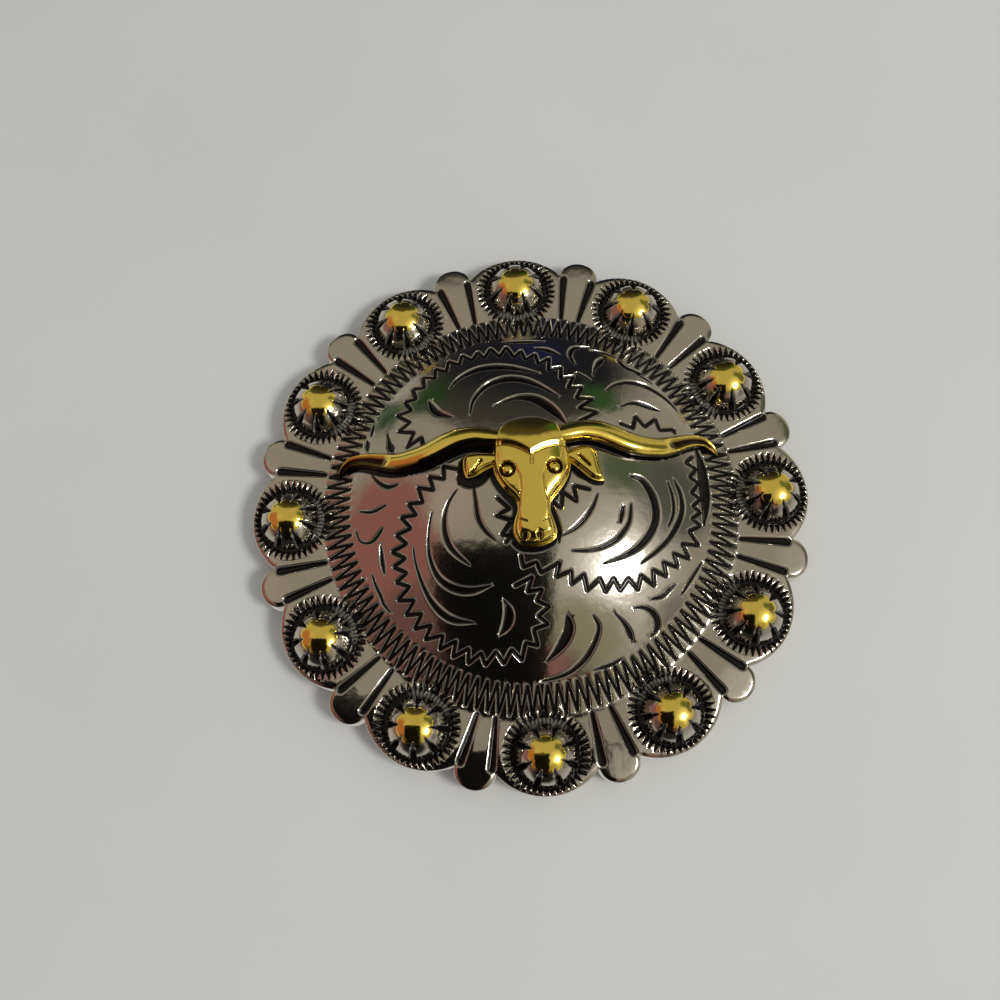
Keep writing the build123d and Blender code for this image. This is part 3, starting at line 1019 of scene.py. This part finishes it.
def berry_pattern():
    """One berry's silver foot, with its slots, round the origin."""
    skin = Skin()
    rings = []
    for radius in berry_circles:
        share = slot_share(radius)
        deepest = slot_root_depth + (slot_mouth_depth - slot_root_depth) * smooth((radius - 1.05) / 0.8)
        points = circle_points(0, 0, radius, berry_turns)
        height = berry_height(radius) - share * deepest
        rings.append(skin.add(at_height(points, height), smooth((share - 0.1) / 0.4)))
    foot = circle_points(0, 0, berry_radius, berry_turns)
    rings.append(skin.add(at_height(foot, berry_underside), 1.0))
    skin.stack(rings)
    skin.fan(rings[0], (0, 0, berry_height(0.0)))
    skin.fan(rings[-1][::-1], (0, 0, berry_underside), 1.0)
    return make_object("berry_pattern", skin, nickel)


def cap_pattern():
    """One berry's gold cap with a scalloped edge, a little proud of the silver."""
    scallop = cap_scallop * np.cos(berry_angles * slot_count)
    edge = cap_radius + scallop - cap_nick * smooth(1 - from_slot(cap_radius) / cap_nick_half)
    skin = Skin()
    rings = []
    for share, lift in cap_rings:
        points = circle_points(0, 0, share * edge, berry_turns)
        rings.append(skin.add(at_height(points, berry_height(share * edge) + lift)))
    skin.stack(rings)
    skin.fan(rings[0], (0, 0, berry_height(0.0) + cap_lift))
    skin.fan(rings[-1][::-1], (0, 0, berry_height(0.0) - cap_thickness))
    return make_object("cap_pattern", skin, cap_gold)


def ring_of_copies(name, pattern, material):
    """Twelve copies of a pattern round the plate, as one plain mesh."""
    tree = bpy.data.node_groups.new(name, "GeometryNodeTree")
    tree.interface.new_socket("Geometry", in_out="OUTPUT", socket_type="NodeSocketGeometry")
    count = tree.interface.new_socket("Count", in_out="INPUT", socket_type="NodeSocketInt")
    radius = tree.interface.new_socket("Ring radius", in_out="INPUT", socket_type="NodeSocketFloat")
    shape = tree.interface.new_socket("Pattern", in_out="INPUT", socket_type="NodeSocketObject")
    nodes, links = tree.nodes, tree.links
    given = nodes.new("NodeGroupInput")
    circle = nodes.new("GeometryNodeMeshCircle")
    copies = nodes.new("GeometryNodeInstanceOnPoints")
    info = nodes.new("GeometryNodeObjectInfo")
    index = nodes.new("GeometryNodeInputIndex")
    turn = nodes.new("ShaderNodeMath")
    turn.operation = "MULTIPLY"
    turn.inputs[1].default_value = pair_angle
    spin = nodes.new("ShaderNodeCombineXYZ")
    realize = nodes.new("GeometryNodeRealizeInstances")
    paint = nodes.new("GeometryNodeSetMaterial")
    paint.inputs["Material"].default_value = material
    result = nodes.new("NodeGroupOutput")
    links.new(given.outputs["Count"], circle.inputs["Vertices"])
    links.new(given.outputs["Ring radius"], circle.inputs["Radius"])
    links.new(given.outputs["Pattern"], info.inputs["Object"])
    links.new(circle.outputs["Mesh"], copies.inputs["Points"])
    links.new(info.outputs["Geometry"], copies.inputs["Instance"])
    links.new(index.outputs["Index"], turn.inputs[0])
    links.new(turn.outputs[0], spin.inputs["Z"])
    links.new(spin.outputs["Vector"], copies.inputs["Rotation"])
    links.new(copies.outputs["Instances"], realize.inputs["Geometry"])
    links.new(realize.outputs["Geometry"], paint.inputs["Geometry"])
    links.new(paint.outputs["Geometry"], result.inputs["Geometry"])
    carrier = place_object(name + "_carrier", bpy.data.meshes.new(name + "_carrier"))
    modifier = carrier.modifiers.new("ring", "NODES")
    modifier.node_group = tree
    modifier[count.identifier] = pair_count
    modifier[radius.identifier] = berry_ring_radius * MM
    modifier[shape.identifier] = pattern
    bpy.context.view_layer.update()
    evaluated = carrier.evaluated_get(bpy.context.evaluated_depsgraph_get())
    mesh = bpy.data.meshes.new_from_object(evaluated)
    mesh.name = name
    carrier.modifiers.remove(modifier)
    bpy.data.objects.remove(carrier)
    bpy.data.objects.remove(pattern)
    return place_object(name, mesh)


# Steer head: closed shells for the head, each ear and each horn, in one piece
head_outline_points = [
    (-2.04, 3.15), (-1.9, 3.47), (-1.62, 3.82), (-1.16, 4.21), (-0.55, 4.46), (0.05, 4.54), (0.56, 4.53),
    (1.07, 4.4), (1.57, 4.12), (1.92, 3.74), (2.13, 3.25), (2.27, 2.76), (2.42, 2.38), (2.56, 1.9),
    (2.62, 1.35), (2.55, 0.8), (2.38, 0.3), (2.09, -0.22), (1.75, -0.66), (1.42, -1.05), (1.18, -1.37),
    (1.1, -1.7), (1.16, -2.18), (1.32, -2.64), (1.43, -3.15), (1.37, -3.5), (1.17, -3.75), (0.8, -3.94),
    (0.29, -4.06), (-0.21, -4.06), (-0.7, -3.96), (-1.04, -3.72), (-1.23, -3.35), (-1.28, -2.92),
    (-1.18, -2.43), (-1.02, -2.01), (-0.93, -1.6), (-1.0, -1.21), (-1.23, -0.9), (-1.57, -0.53),
    (-1.91, -0.05), (-2.17, 0.46), (-2.31, 1.02), (-2.34, 1.65), (-2.27, 2.28), (-2.17, 2.76),
]
left_ear_points = [
    (-2.0, 2.0), (-2.88, 2.2), (-3.46, 2.25), (-3.94, 2.2), (-4.18, 1.98), (-4.24, 1.48), (-4.16, 0.89),
    (-3.97, 0.61), (-3.38, 0.74), (-2.86, 1.0), (-2.0, 1.4),
]
right_ear_points = [
    (2.2, 1.85), (2.81, 2.18), (3.34, 2.35), (3.79, 2.37), (4.16, 2.18), (4.35, 1.75), (4.43, 1.24),
    (4.54, 0.69), (4.68, 0.08), (4.38, -0.05), (3.87, 0.08), (3.33, 0.54), (2.65, 1.15), (2.2, 1.4),
]
head_outline = curve_through(head_outline_points, 5, closed=True)
left_ear_outline = curve_through(left_ear_points, 6, closed=True)
right_ear_outline = curve_through(right_ear_points, 6, closed=True)
left_ear_slit = [(-3.06, 1.6), (-3.7, 0.88)]
right_ear_slit = [(3.14, 1.62), (3.76, 0.95)]

lip_width = 0.10
lip_height = 0.22
overlay_gap = 0.01


def groove_line(x, y, path, half, depth):
    """Depth of one fine line in the overlay."""
    away = distance_to_path(x, y, curve_through(path, 4))
    return depth * smooth((half - away) / half * 1.3)


def rounded_wall(inside, wall_run, shoulder, crown, width, flat=lip_width):
    """Relief across a shell's edge: flat lip, wall, then a round shoulder up to the crown."""
    lip = lip_height * smooth(inside / 0.02 + 1)
    share = np.clip((inside - flat) / wall_run, 0, 1)
    wall = lip + (shoulder - lip_height) * (0.5 * share + 0.5 * smooth(share))
    bend = np.clip((inside - flat - wall_run * 0.8) / width, 0, 1)
    return wall + (crown - shoulder) * np.sqrt(1 - (1 - bend) ** 2)


# Face: a flat bridge that widens downwards and to the forehead, cheeks that lean outwards, a round muzzle
bridge_middle = 0.06
bridge_height = 1.45
bridge_half = 0.65
bridge_flare = 0.30
eye_flare = 0.25
forehead_flare = 0.9
forehead_foot = 0.75
forehead_run = 0.5
brow_rise = 0.165
nose_fall = 0.15
muzzle_top = -1.9
muzzle_run = 0.9
cheek_edge = 0.14
cheek_drop = 0.09
cheek_reach = 0.8
left_cheek_lean = 0.12
right_cheek_lean = 0.31
furrow_depth = 0.06
face_wall = 0.05
face_shoulder = 0.20
face_round = 0.15
muzzle_shoulder = 0.36
muzzle_round = 0.37


def face_relief(x, y, inside):
    """Relief of the face, and how deep in the furrow beside the bridge a point is."""
    muzzle = smooth((muzzle_top - y) / muzzle_run)
    forehead = smooth((y - forehead_foot) / forehead_run)
    half = bridge_half + bridge_flare * smooth((-0.6 - y) / 1.7) + eye_flare * smooth(y / forehead_foot)
    from_bridge = np.abs(x - bridge_middle) - half - forehead_flare * forehead
    beside = smooth(from_bridge / cheek_edge) * (1 - muzzle)
    bridge = bridge_height + (brow_rise - 0.07 * x**2) * smooth((y - 0.3) / 1.2)
    bridge = bridge - nose_fall * smooth((0.3 - y) / 2.2)
    lean = np.where(x < 0, left_cheek_lean, right_cheek_lean)
    cheek = cheek_drop + lean * np.clip(1 - inside / cheek_reach, 0, 1) ** 2
    furrow = np.exp(-(((from_bridge - 0.07) / 0.06) ** 2)) * (1 - muzzle) * (1 - forehead)
    face = bridge - cheek * beside - furrow_depth * furrow
    shoulder = face - face_shoulder - muzzle_shoulder * muzzle
    return rounded_wall(inside, face_wall, shoulder, face, face_round + muzzle_round * muzzle), furrow


# Poll: it falls away to the top, with a broad lip and wall there
poll_crown = 1.77
poll_start = 2.3
poll_fall = 0.10
poll_side_fall = 0.07
poll_shoulder = 0.08
poll_round = 0.14
poll_wall = 0.06
poll_top = 3.4
poll_top_run = 0.7
poll_top_wall = 0.36
poll_top_lip = 0.24


def poll_relief(x, y, inside):
    """Relief of the poll, over the brow."""
    back = np.maximum(y - poll_start, 0)
    crown = poll_crown - poll_fall * back**2 - poll_side_fall * x**2
    top = smooth((y - poll_top) / poll_top_run)
    wall_run = poll_wall + (poll_top_wall - poll_wall) * top
    flat = lip_width + (poll_top_lip - lip_width) * top
    return rounded_wall(inside, wall_run, crown - poll_shoulder, crown, poll_round, flat)


# Brow: a sloped step up from the face to the poll, lowest in the middle, with a painted dark reflection
# along its left half
brow_middle = 0.04
brow_low = 1.37
brow_lift_left = 0.92
brow_lift_right = 0.68
brow_half = 2.1
brow_slope_width = 0.35
brow_crease_depth = 0.05
brow_crease_half = 0.045
brow_painted_reflection_place = 0.30
brow_painted_reflection_half = 0.09


def brow_line(x):
    """Height on the face of the lower edge of the brow."""
    reach = np.clip(np.abs(x - brow_middle) / brow_half, 0, 1)
    lift = np.where(x < brow_middle, brow_lift_left, brow_lift_right)
    return brow_low + lift * (1 - (1 - reach) ** 2)


# Eyes: round balls in sunk sockets
eye_places = [(-1.44, 0.6), (1.52, 0.63)]
eye_circles = (0.12, 0.22, 0.28, 0.31, 0.34, 0.37, 0.42, 0.46, 0.50, 0.55)
eye_points = 40
eye_socket = 0.55
eye_socket_depth = 0.2
eye_ball = 0.34
eye_ball_rise = 0.5


def eye_relief(x, y, place):
    """Height that an eye adds to the face, and how deep in its socket's ring a point is."""
    away = np.hypot(x - place[0], y - place[1])
    socket = smooth((eye_socket - away) / 0.09)
    ball = eye_ball_rise * np.sqrt(np.maximum(eye_ball**2 - away**2, 0))
    return socket * (ball - eye_socket_depth), socket * smooth((away - eye_ball * 0.84) / 0.05)


Nostril = namedtuple("Nostril", "x y wide tall depth")
nostrils = [Nostril(-0.57, -3.58, 0.34, 0.32, 0.26), Nostril(0.30, -3.60, 0.21, 0.34, 0.22)]

# Fine creases: beside the nostrils, on the brow and along the left jaw
Crease = namedtuple("Crease", "path half depth")
creases = [
    Crease([(-0.87, -2.58), (-0.63, -2.67), (-0.39, -2.79)], 0.06, 0.07),
    Crease([(0.93, -2.61), (0.75, -2.66), (0.6, -2.74)], 0.06, 0.07),
    Crease([(0.0, 1.2), (0.0, 1.0), (0.02, 0.78)], 0.05, 0.05),
    Crease([(0.17, 1.2), (0.17, 1.0), (0.15, 0.8)], 0.05, 0.05),
    Crease([(-1.62, -0.33), (-1.36, -0.72), (-1.03, -1.15)], 0.09, 0.12),
]


def head_surface(x, y):
    """Height of the head's shell, and how dark its gold is: deep in a hollow, and in a painted dark
    reflection along the left half of the brow.
    """
    inside = distance_to_path(x, y, head_outline, closed=True)
    face, furrow = face_relief(x, y, inside)
    above = y - brow_line(x)
    step = 0.6 * np.clip(above / brow_slope_width, 0, 1) + 0.4 * smooth(above / brow_slope_width)
    height = face + (poll_relief(x, y, inside) - face) * step
    crease = np.exp(-(((above + 0.03) / brow_crease_half) ** 2)) * smooth((inside - 0.15) / 0.1)
    height = height - brow_crease_depth * crease
    # painted reflection: a dark band along the upper part of the brow's slope, on its left half only
    dark = np.exp(-(((above - brow_painted_reflection_place) / brow_painted_reflection_half) ** 2)) * smooth((inside - 0.1) / 0.1)
    hollow = np.maximum(0.55 * crease, 0.85 * dark * (x < brow_middle))
    hollow = np.maximum(hollow, 0.3 * furrow)
    for place in eye_places:
        rise, ring = eye_relief(x, y, place)
        height = height + rise
        hollow = np.maximum(hollow, ring)
    for nostril in nostrils:
        away = np.hypot((x - nostril.x) / nostril.wide, (y - nostril.y) / nostril.tall)
        pit = smooth(1.15 - away)
        height = height - nostril.depth * pit
        hollow = np.maximum(hollow, 0.85 * smooth(pit * 1.8 - 0.3))
    for crease in creases:
        line = groove_line(x, y, crease.path, crease.half, crease.depth)
        height = height - line
        hollow = np.maximum(hollow, 0.8 * line / crease.depth)
    return base_height(x, y) + height, np.clip(hollow, 0, 1)


ear_shoulder = 0.42
ear_crown = 0.62
ear_wall = 0.05
ear_round = 0.24
ear_slit_half = 0.13
ear_slit_depth = 0.22


def ear_surface(outline, slit):
    """Height function of one ear."""
    def surface(x, y):
        inside = distance_to_path(x, y, outline, closed=True)
        height = rounded_wall(inside, ear_wall, ear_shoulder, ear_crown, ear_round)
        line = groove_line(x, y, slit, ear_slit_half, ear_slit_depth)
        return base_height(x, y) + height - line, smooth(line / ear_slit_depth * 1.5 - 0.3)
    return surface


shell_insets = [lip_width + step for step in (-0.07, 0, 0.02, 0.05, 0.09, 0.15)]
shell_edge_rise = 0.6


def add_shell(skin, outline, surface, spacing, extra=()):
    """Closed shell over an outline: a relief face, an upright side and an underside on the dome."""
    if (outline[:, 0] * np.roll(outline[:, 1], -1) - np.roll(outline[:, 0], -1) * outline[:, 1]).sum() < 0:
        outline = outline[::-1]
    outward = outward_of(outline)
    loose = []
    for inset in shell_insets:
        ring = outline - outward * inset
        loose.append(ring[distance_to_path(ring[:, 0], ring[:, 1], outline, True) > inset * 0.9])
    loose += list(extra)
    field = lattice(outline.min(axis=0), outline.max(axis=0), spacing)
    away = distance_to_path(field[:, 0], field[:, 1], outline, True)
    loose.append(field[away > max(shell_insets) + 0.01])
    loose = np.concatenate(loose)
    flat, triangles, place = triangulate(outline, loose[inside_outline(loose, outline)], [])
    edge = place[:len(outline)]
    x, y = flat.T
    height, hollow = surface(x, y)
    normals = surface_normals(surface, x, y, 0.006)
    height[edge] = base_height(*outline.T) + lip_height
    side = at_height(outward, shell_edge_rise)
    normals[edge] = side / np.linalg.norm(side, axis=1)[:, None]
    face = skin.add(at_height(flat, height), hollow, normals)
    under = skin.add(at_height(flat, base_height(x, y) + overlay_gap))
    skin.faces += face[triangles].tolist() + under[triangles[:, ::-1]].tolist()
    skin.join(face[edge], under[edge])


HornSection = namedtuple("HornSection", "x y half relief")
horn_side = [
    HornSection(1.6, 2.98, 0.55, 1.10),
    HornSection(2.4, 3.20, 0.70, 1.14),
    HornSection(3.4, 3.43, 0.76, 1.16),
    HornSection(4.4, 3.40, 0.82, 1.16),
    HornSection(5.35, 3.13, 0.85, 1.14),
    HornSection(6.8, 2.60, 0.82, 1.08),
    HornSection(8.4, 2.48, 0.73, 1.00),
    HornSection(9.6, 2.80, 0.65, 0.92),
    HornSection(10.5, 3.17, 0.56, 0.84),
    HornSection(11.3, 3.41, 0.50, 0.76),
    HornSection(12.0, 3.46, 0.44, 0.68),
    HornSection(12.46, 3.20, 0.36, 0.60),
    HornSection(12.74, 2.88, 0.24, 0.48),
    HornSection(12.88, 2.64, 0.09, 0.34),
]
left_horn = [HornSection(-s.x, s.y, s.half, s.relief) for s in horn_side]
right_horn = horn_side
# Section of a horn from its lower side to its upper side: share of the half width, and height
horn_section = [
    (-1.0, 0.0), (-1.0, 0.30), (-0.985, 0.42), (-0.95, 0.56), (-0.88, 0.70), (-0.78, 0.81), (-0.62, 0.91),
    (-0.42, 0.97), (-0.18, 1.0), (0.08, 0.985), (0.32, 0.93), (0.52, 0.84), (0.68, 0.70), (0.79, 0.54),
    (0.86, 0.38), (0.895, 0.28), (0.915, 0.24), (0.985, 0.235), (1.0, 0.20), (1.0, 0.0),
]
flute_start = 9.05
flute_run = 0.5
flute_depth = 0.42
flute_middle = -0.22
flute_half = 0.50
flute_edge = 0.16
# Height on a horn's section up to which its lower side is darkened as painted shade, higher on the left horn
left_horn_painted_shade_height = 0.97
right_horn_painted_shade_height = 0.72


def horn_line(sections):
    """Middle line of a horn with its half width and relief, and the unit vectors to its upper side."""
    line = curve_through([tuple(s) for s in sections], 6)
    run = np.gradient(line[:, :2], axis=0)
    run /= np.linalg.norm(run, axis=1)[:, None]
    side = np.stack([-run[:, 1], run[:, 0]], 1)
    return line, side if side[:, 1].mean() > 0 else -side


def add_horn(skin, sections, painted_shade_height):
    """Closed shell of one horn, swept along its curved middle line, with a flute in its tip and painted
    shade along its lower side.
    """
    line, side = horn_line(sections)
    shares, heights = np.array(horn_section).T
    # painted shade: the horn's lower side is darkened up to the given height
    foot = smooth((painted_shade_height - heights) / 0.2) * (shares < 0)
    rings = []
    for (x, y, half, relief), toward in zip(line, side):
        started = smooth((abs(x) - flute_start) / flute_run)
        flute = started * smooth((flute_half - np.abs(shares - flute_middle)) / flute_edge)
        height = relief * (heights - flute_depth * flute)
        points = np.array([x, y]) + np.outer(shares * half, toward)
        z = base_height(*points.T) + np.maximum(height, overlay_gap)
        rings.append(skin.add(at_height(points, z), np.maximum(flute, foot)))
    if line[0, 0] > 0:
        rings = [ring[::-1] for ring in rings]
    skin.stack(rings[::-1])
    skin.faces += [tuple(rings[0][::-1]), tuple(rings[-1])]


stud_turns = 24
stud_chamfer = 0.1
stud_end_radius = 0.3
stud_below = 0.3
stud_above = 0.6


def add_stud(skin, x, y):
    """Closed stud with a chamfered end, through the dome."""
    foot = vault_height(hypot(x, y)) - stud_below
    top = float(base_height(x, y)) + stud_above
    profile = [(stud_radius, top), (stud_radius, foot + stud_chamfer), (stud_end_radius, foot)]
    rings = [skin.add(at_height(circle_points(x, y, radius, stud_turns), z)) for radius, z in profile]
    skin.stack(rings)
    skin.faces += [tuple(rings[0]), tuple(rings[-1][::-1])]


def overlay_outlines():
    """Outlines of the head, the ears and the horns, each with how far its oxide and painted shade reach."""
    outlines = [(head_outline, head_oxide_and_shade), (left_ear_outline, ear_oxide_and_shade), (right_ear_outline, ear_oxide_and_shade)]
    for sections, reach in ((left_horn, left_horn_oxide_and_shade), (right_horn, right_horn_oxide_and_shade)):
        line, side = horn_line(sections)
        upper, lower = line[:, :2] + side * line[:, 2:3], line[:, :2] - side * line[:, 2:3]
        outlines.append((np.concatenate([upper, lower[::-1]]), reach))
    return outlines


brow_points = 90
brow_shifts = (-0.1, -0.06, -0.03, 0.0, 0.04, 0.1, 0.16, 0.22, 0.27, 0.31, 0.35)
poll_shares = (0.955, 0.945, 0.935, 0.92, 0.90, 0.88)
head_spacing = 0.075
ear_spacing = 0.09


def head_details():
    """Loose points that keep the eyes, the brow and the poll's wall crisp."""
    details = []
    for x, y in eye_places:
        for radius in eye_circles:
            details.append(circle_points(x, y, radius, eye_points))
    poll = head_outline[head_outline[:, 1] > poll_top]
    for share in poll_shares:
        details.append(poll * share)
    x = np.linspace(-brow_half, brow_half + 0.1, brow_points)
    for shift in brow_shifts:
        details.append(np.stack([x, brow_line(x) + shift], 1))
    return details


def make_head():
    """The gilt longhorn, as one piece of several closed shells."""
    skin = Skin()
    add_shell(skin, head_outline, head_surface, head_spacing, head_details())
    for outline, slit in ((left_ear_outline, left_ear_slit), (right_ear_outline, right_ear_slit)):
        add_shell(skin, outline, ear_surface(outline, slit), ear_spacing)
    add_horn(skin, left_horn, left_horn_painted_shade_height)
    add_horn(skin, right_horn, right_horn_painted_shade_height)
    for side in (1, -1):
        add_stud(skin, side * stud_reach, stud_height)
    return make_object("longhorn_overlay", skin, head_gold)


body_casting = make_body(overlay_outlines())
berries = ring_of_copies("berries", berry_pattern(), nickel)
berry_caps = ring_of_copies("berry_caps", cap_pattern(), cap_gold)
longhorn = make_head()
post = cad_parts["screw_post"]
post.data.materials.clear()
post.data.materials.append(post_nickel)

for piece in (body_casting, berries, berry_caps, longhorn):
    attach(piece, "root")
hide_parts("body")
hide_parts("steer_head")


# Floor, a hair under the back rim, so that the two faces don't meet
floor_reach = 0.6
floor_drop = 0.00002


def flat_object(name, corners, material):
    """Object with one flat face."""
    mesh = bpy.data.meshes.new(name)
    mesh.from_pydata(corners, [], [(0, 1, 2, 3)])
    mesh.materials.append(material)
    return place_object(name, mesh)


def pale_floor():
    """Pale board with the faintest mottling."""
    material, nodes, links, shader = new_material("pale_board", 0.0)
    shader.inputs["Roughness"].default_value = 0.85
    mottle = noise(nodes, links, 45, 4.0, "mottling")
    colour = blend_colour(nodes, links, mottle.outputs["Fac"], (0.60, 0.60, 0.58), (0.66, 0.66, 0.64))
    links.new(colour, shader.inputs["Base Color"])
    corners = [(x * floor_reach, y * floor_reach, 0) for x, y in ((-1, -1), (1, -1), (1, 1), (-1, 1))]
    made = flat_object("floor", corners, material)
    made.location.z = -floor_drop
    made.visible_glossy = False


pale_floor()

# Camera: where the photograph was taken from, with its slight roll
camera_place = Vector((-1.850, -18.745, 67.376)) * MM
camera_aim = Vector((-2.028, 0.559, 1.9)) * MM
camera_roll = radians(-3.26)
camera_lens = 36


def make_camera():
    """Camera at the photograph's angle."""
    data = bpy.data.cameras.new("camera")
    data.lens = camera_lens
    data.sensor_width = 36
    data.clip_start = 0.001
    data.clip_end = 10
    made = place_object("camera", data)
    forward = (camera_aim - camera_place).normalized()
    right = forward.cross(Vector((0, 1, 0))).normalized()
    up = right.cross(forward)
    turned_right = right * cos(camera_roll) + up * sin(camera_roll)
    turned_up = up * cos(camera_roll) - right * sin(camera_roll)
    turned = Matrix((turned_right, turned_up, -forward)).transposed().to_4x4()
    made.matrix_world = Matrix.Translation(camera_place) @ turned
    bpy.context.scene.camera = made


make_camera()


# Light: a soft window from the right, a room of soft colours for the metal to mirror, and a black card
def direction(azimuth, elevation):
    """Unit vector from an azimuth, counted from +X to +Y, and an elevation, in degrees."""
    a, e = radians(azimuth), radians(elevation)
    return Vector((cos(e) * cos(a), cos(e) * sin(a), sin(e)))


window_width = 0.13
window_height = 0.11
window_power = 1.25
window_distance = 0.5
window_direction = direction(-26, 48)


def window_light():
    """The soft box that throws the highlights and the shadow."""
    data = bpy.data.lights.new("window", "AREA")
    data.shape = "RECTANGLE"
    data.size = window_width
    data.size_y = window_height
    data.energy = window_power
    data.color = (1.0, 0.99, 0.97)
    made = place_object("window", data)
    made.location = window_direction * window_distance
    made.rotation_mode = "QUATERNION"
    made.rotation_quaternion = window_direction.to_track_quat("Z", "Y")


Patch = namedtuple("Patch", "azimuth elevation inner outer colour")
room_patches = [
    Patch(-28, 47, 8, 38, (0.62, 0.58, 0.50)),
    Patch(-66, 38, 10, 22, (0.30, 0.28, 0.18)),
    Patch(-26, 50, 5, 19, (0.95, 0.92, 0.84)),
    Patch(-30, 14, 4, 14, (0.22, 0.20, 0.15)),
    Patch(15, 24, 9, 22, (0.10, 0.10, 0.08)),
    Patch(32, 42, 5, 14, (0.09, 0.12, 0.06)),
    Patch(90, 18, 28, 34, (0.050, 0.046, 0.037)),
    Patch(84, 4, 18, 37, (0.014, 0.014, 0.018)),
    Patch(84, 3, 4, 10, (0.012, 0.014, 0.05)),
    Patch(60, 22, 3, 9, (0.03, 0.085, 0.018)),
    Patch(120, 12, 4, 10, (0.022, 0.056, 0.014)),
    Patch(132, 4, 3, 8, (0.02, 0.065, 0.018)),
    Patch(178, 27, 19, 33, (0.31, 0.125, 0.10)),
    Patch(160, 56, 6, 14, (0.42, 0.35, 0.28)),
    Patch(222, 22, 16, 28, (0.17, 0.08, 0.065)),
    Patch(258, 10, 24, 40, (0.02, 0.018, 0.018)),
    Patch(275, 30, 4, 11, (0.30, 0.14, 0.12)),
]


def make_world():
    """Ceiling light for the surroundings, and the patches that only mirror-like surfaces see."""
    world = bpy.data.worlds.new("room")
    bpy.context.scene.world = world
    world.use_nodes = True
    nodes, links = world.node_tree.nodes, world.node_tree.links
    nodes.clear()
    place = nodes.new("ShaderNodeTexCoord")
    apart = nodes.new("ShaderNodeSeparateXYZ")
    links.new(place.outputs["Generated"], apart.inputs[0])
    rise = ramp(nodes, links, apart.outputs["Z"], -0.3, 0.1, 0, 1)
    colour = blend_colour(nodes, links, rise, (0.50, 0.49, 0.46), (0.35, 0.32, 0.25))
    for patch in room_patches:
        dot = nodes.new("ShaderNodeVectorMath")
        dot.operation = "DOT_PRODUCT"
        links.new(place.outputs["Generated"], dot.inputs[0])
        dot.inputs[1].default_value = direction(patch.azimuth, patch.elevation)
        made = nodes.new("ShaderNodeMapRange")
        made.interpolation_type = "SMOOTHSTEP"
        made.inputs["From Min"].default_value = cos(radians(patch.outer))
        made.inputs["From Max"].default_value = cos(radians(patch.inner))
        links.new(dot.outputs["Value"], made.inputs["Value"])
        colour = blend_colour(nodes, links, made.outputs["Result"], colour, patch.colour)
    path = nodes.new("ShaderNodeLightPath")
    mirrored = nodes.new("ShaderNodeBackground")
    links.new(colour, mirrored.inputs["Color"])
    mirrored.inputs["Strength"].default_value = 1.25
    plain = nodes.new("ShaderNodeBackground")
    plain.inputs["Color"].default_value = (0.48, 0.48, 0.475, 1)
    mix = nodes.new("ShaderNodeMixShader")
    links.new(path.outputs["Is Glossy Ray"], mix.inputs["Fac"])
    links.new(plain.outputs[0], mix.inputs[1])
    links.new(mirrored.outputs[0], mix.inputs[2])
    result = nodes.new("ShaderNodeOutputWorld")
    links.new(mix.outputs[0], result.inputs["Surface"])


# Card in the camera's own axes, in millimetres, a little behind the lens
card_left, card_right, card_low, card_high = -64, 13.5, -160, 8
card_behind = 2.0


def black_card():
    """Card beside the lens that only the mirror-like metal sees."""
    material, _, _, shader = new_material("black_card", 0.0)
    shader.inputs["Base Color"].default_value = (0.004, 0.004, 0.004, 1)
    shader.inputs["Roughness"].default_value = 1.0
    shader.inputs["Specular IOR Level"].default_value = 0.0
    turned = bpy.context.scene.camera.matrix_world
    corners = [
        turned @ (Vector((x, y, card_behind)) * MM)
        for x, y in (
            (card_left, card_low), (card_right, card_low), (card_right, card_high), (card_left, card_high),
        )
    ]
    made = flat_object("black_card", corners, material)
    made.visible_camera = False
    made.visible_diffuse = False
    made.visible_shadow = False


window_light()
make_world()
black_card()
bpy.context.scene.view_settings.view_transform = "Standard"
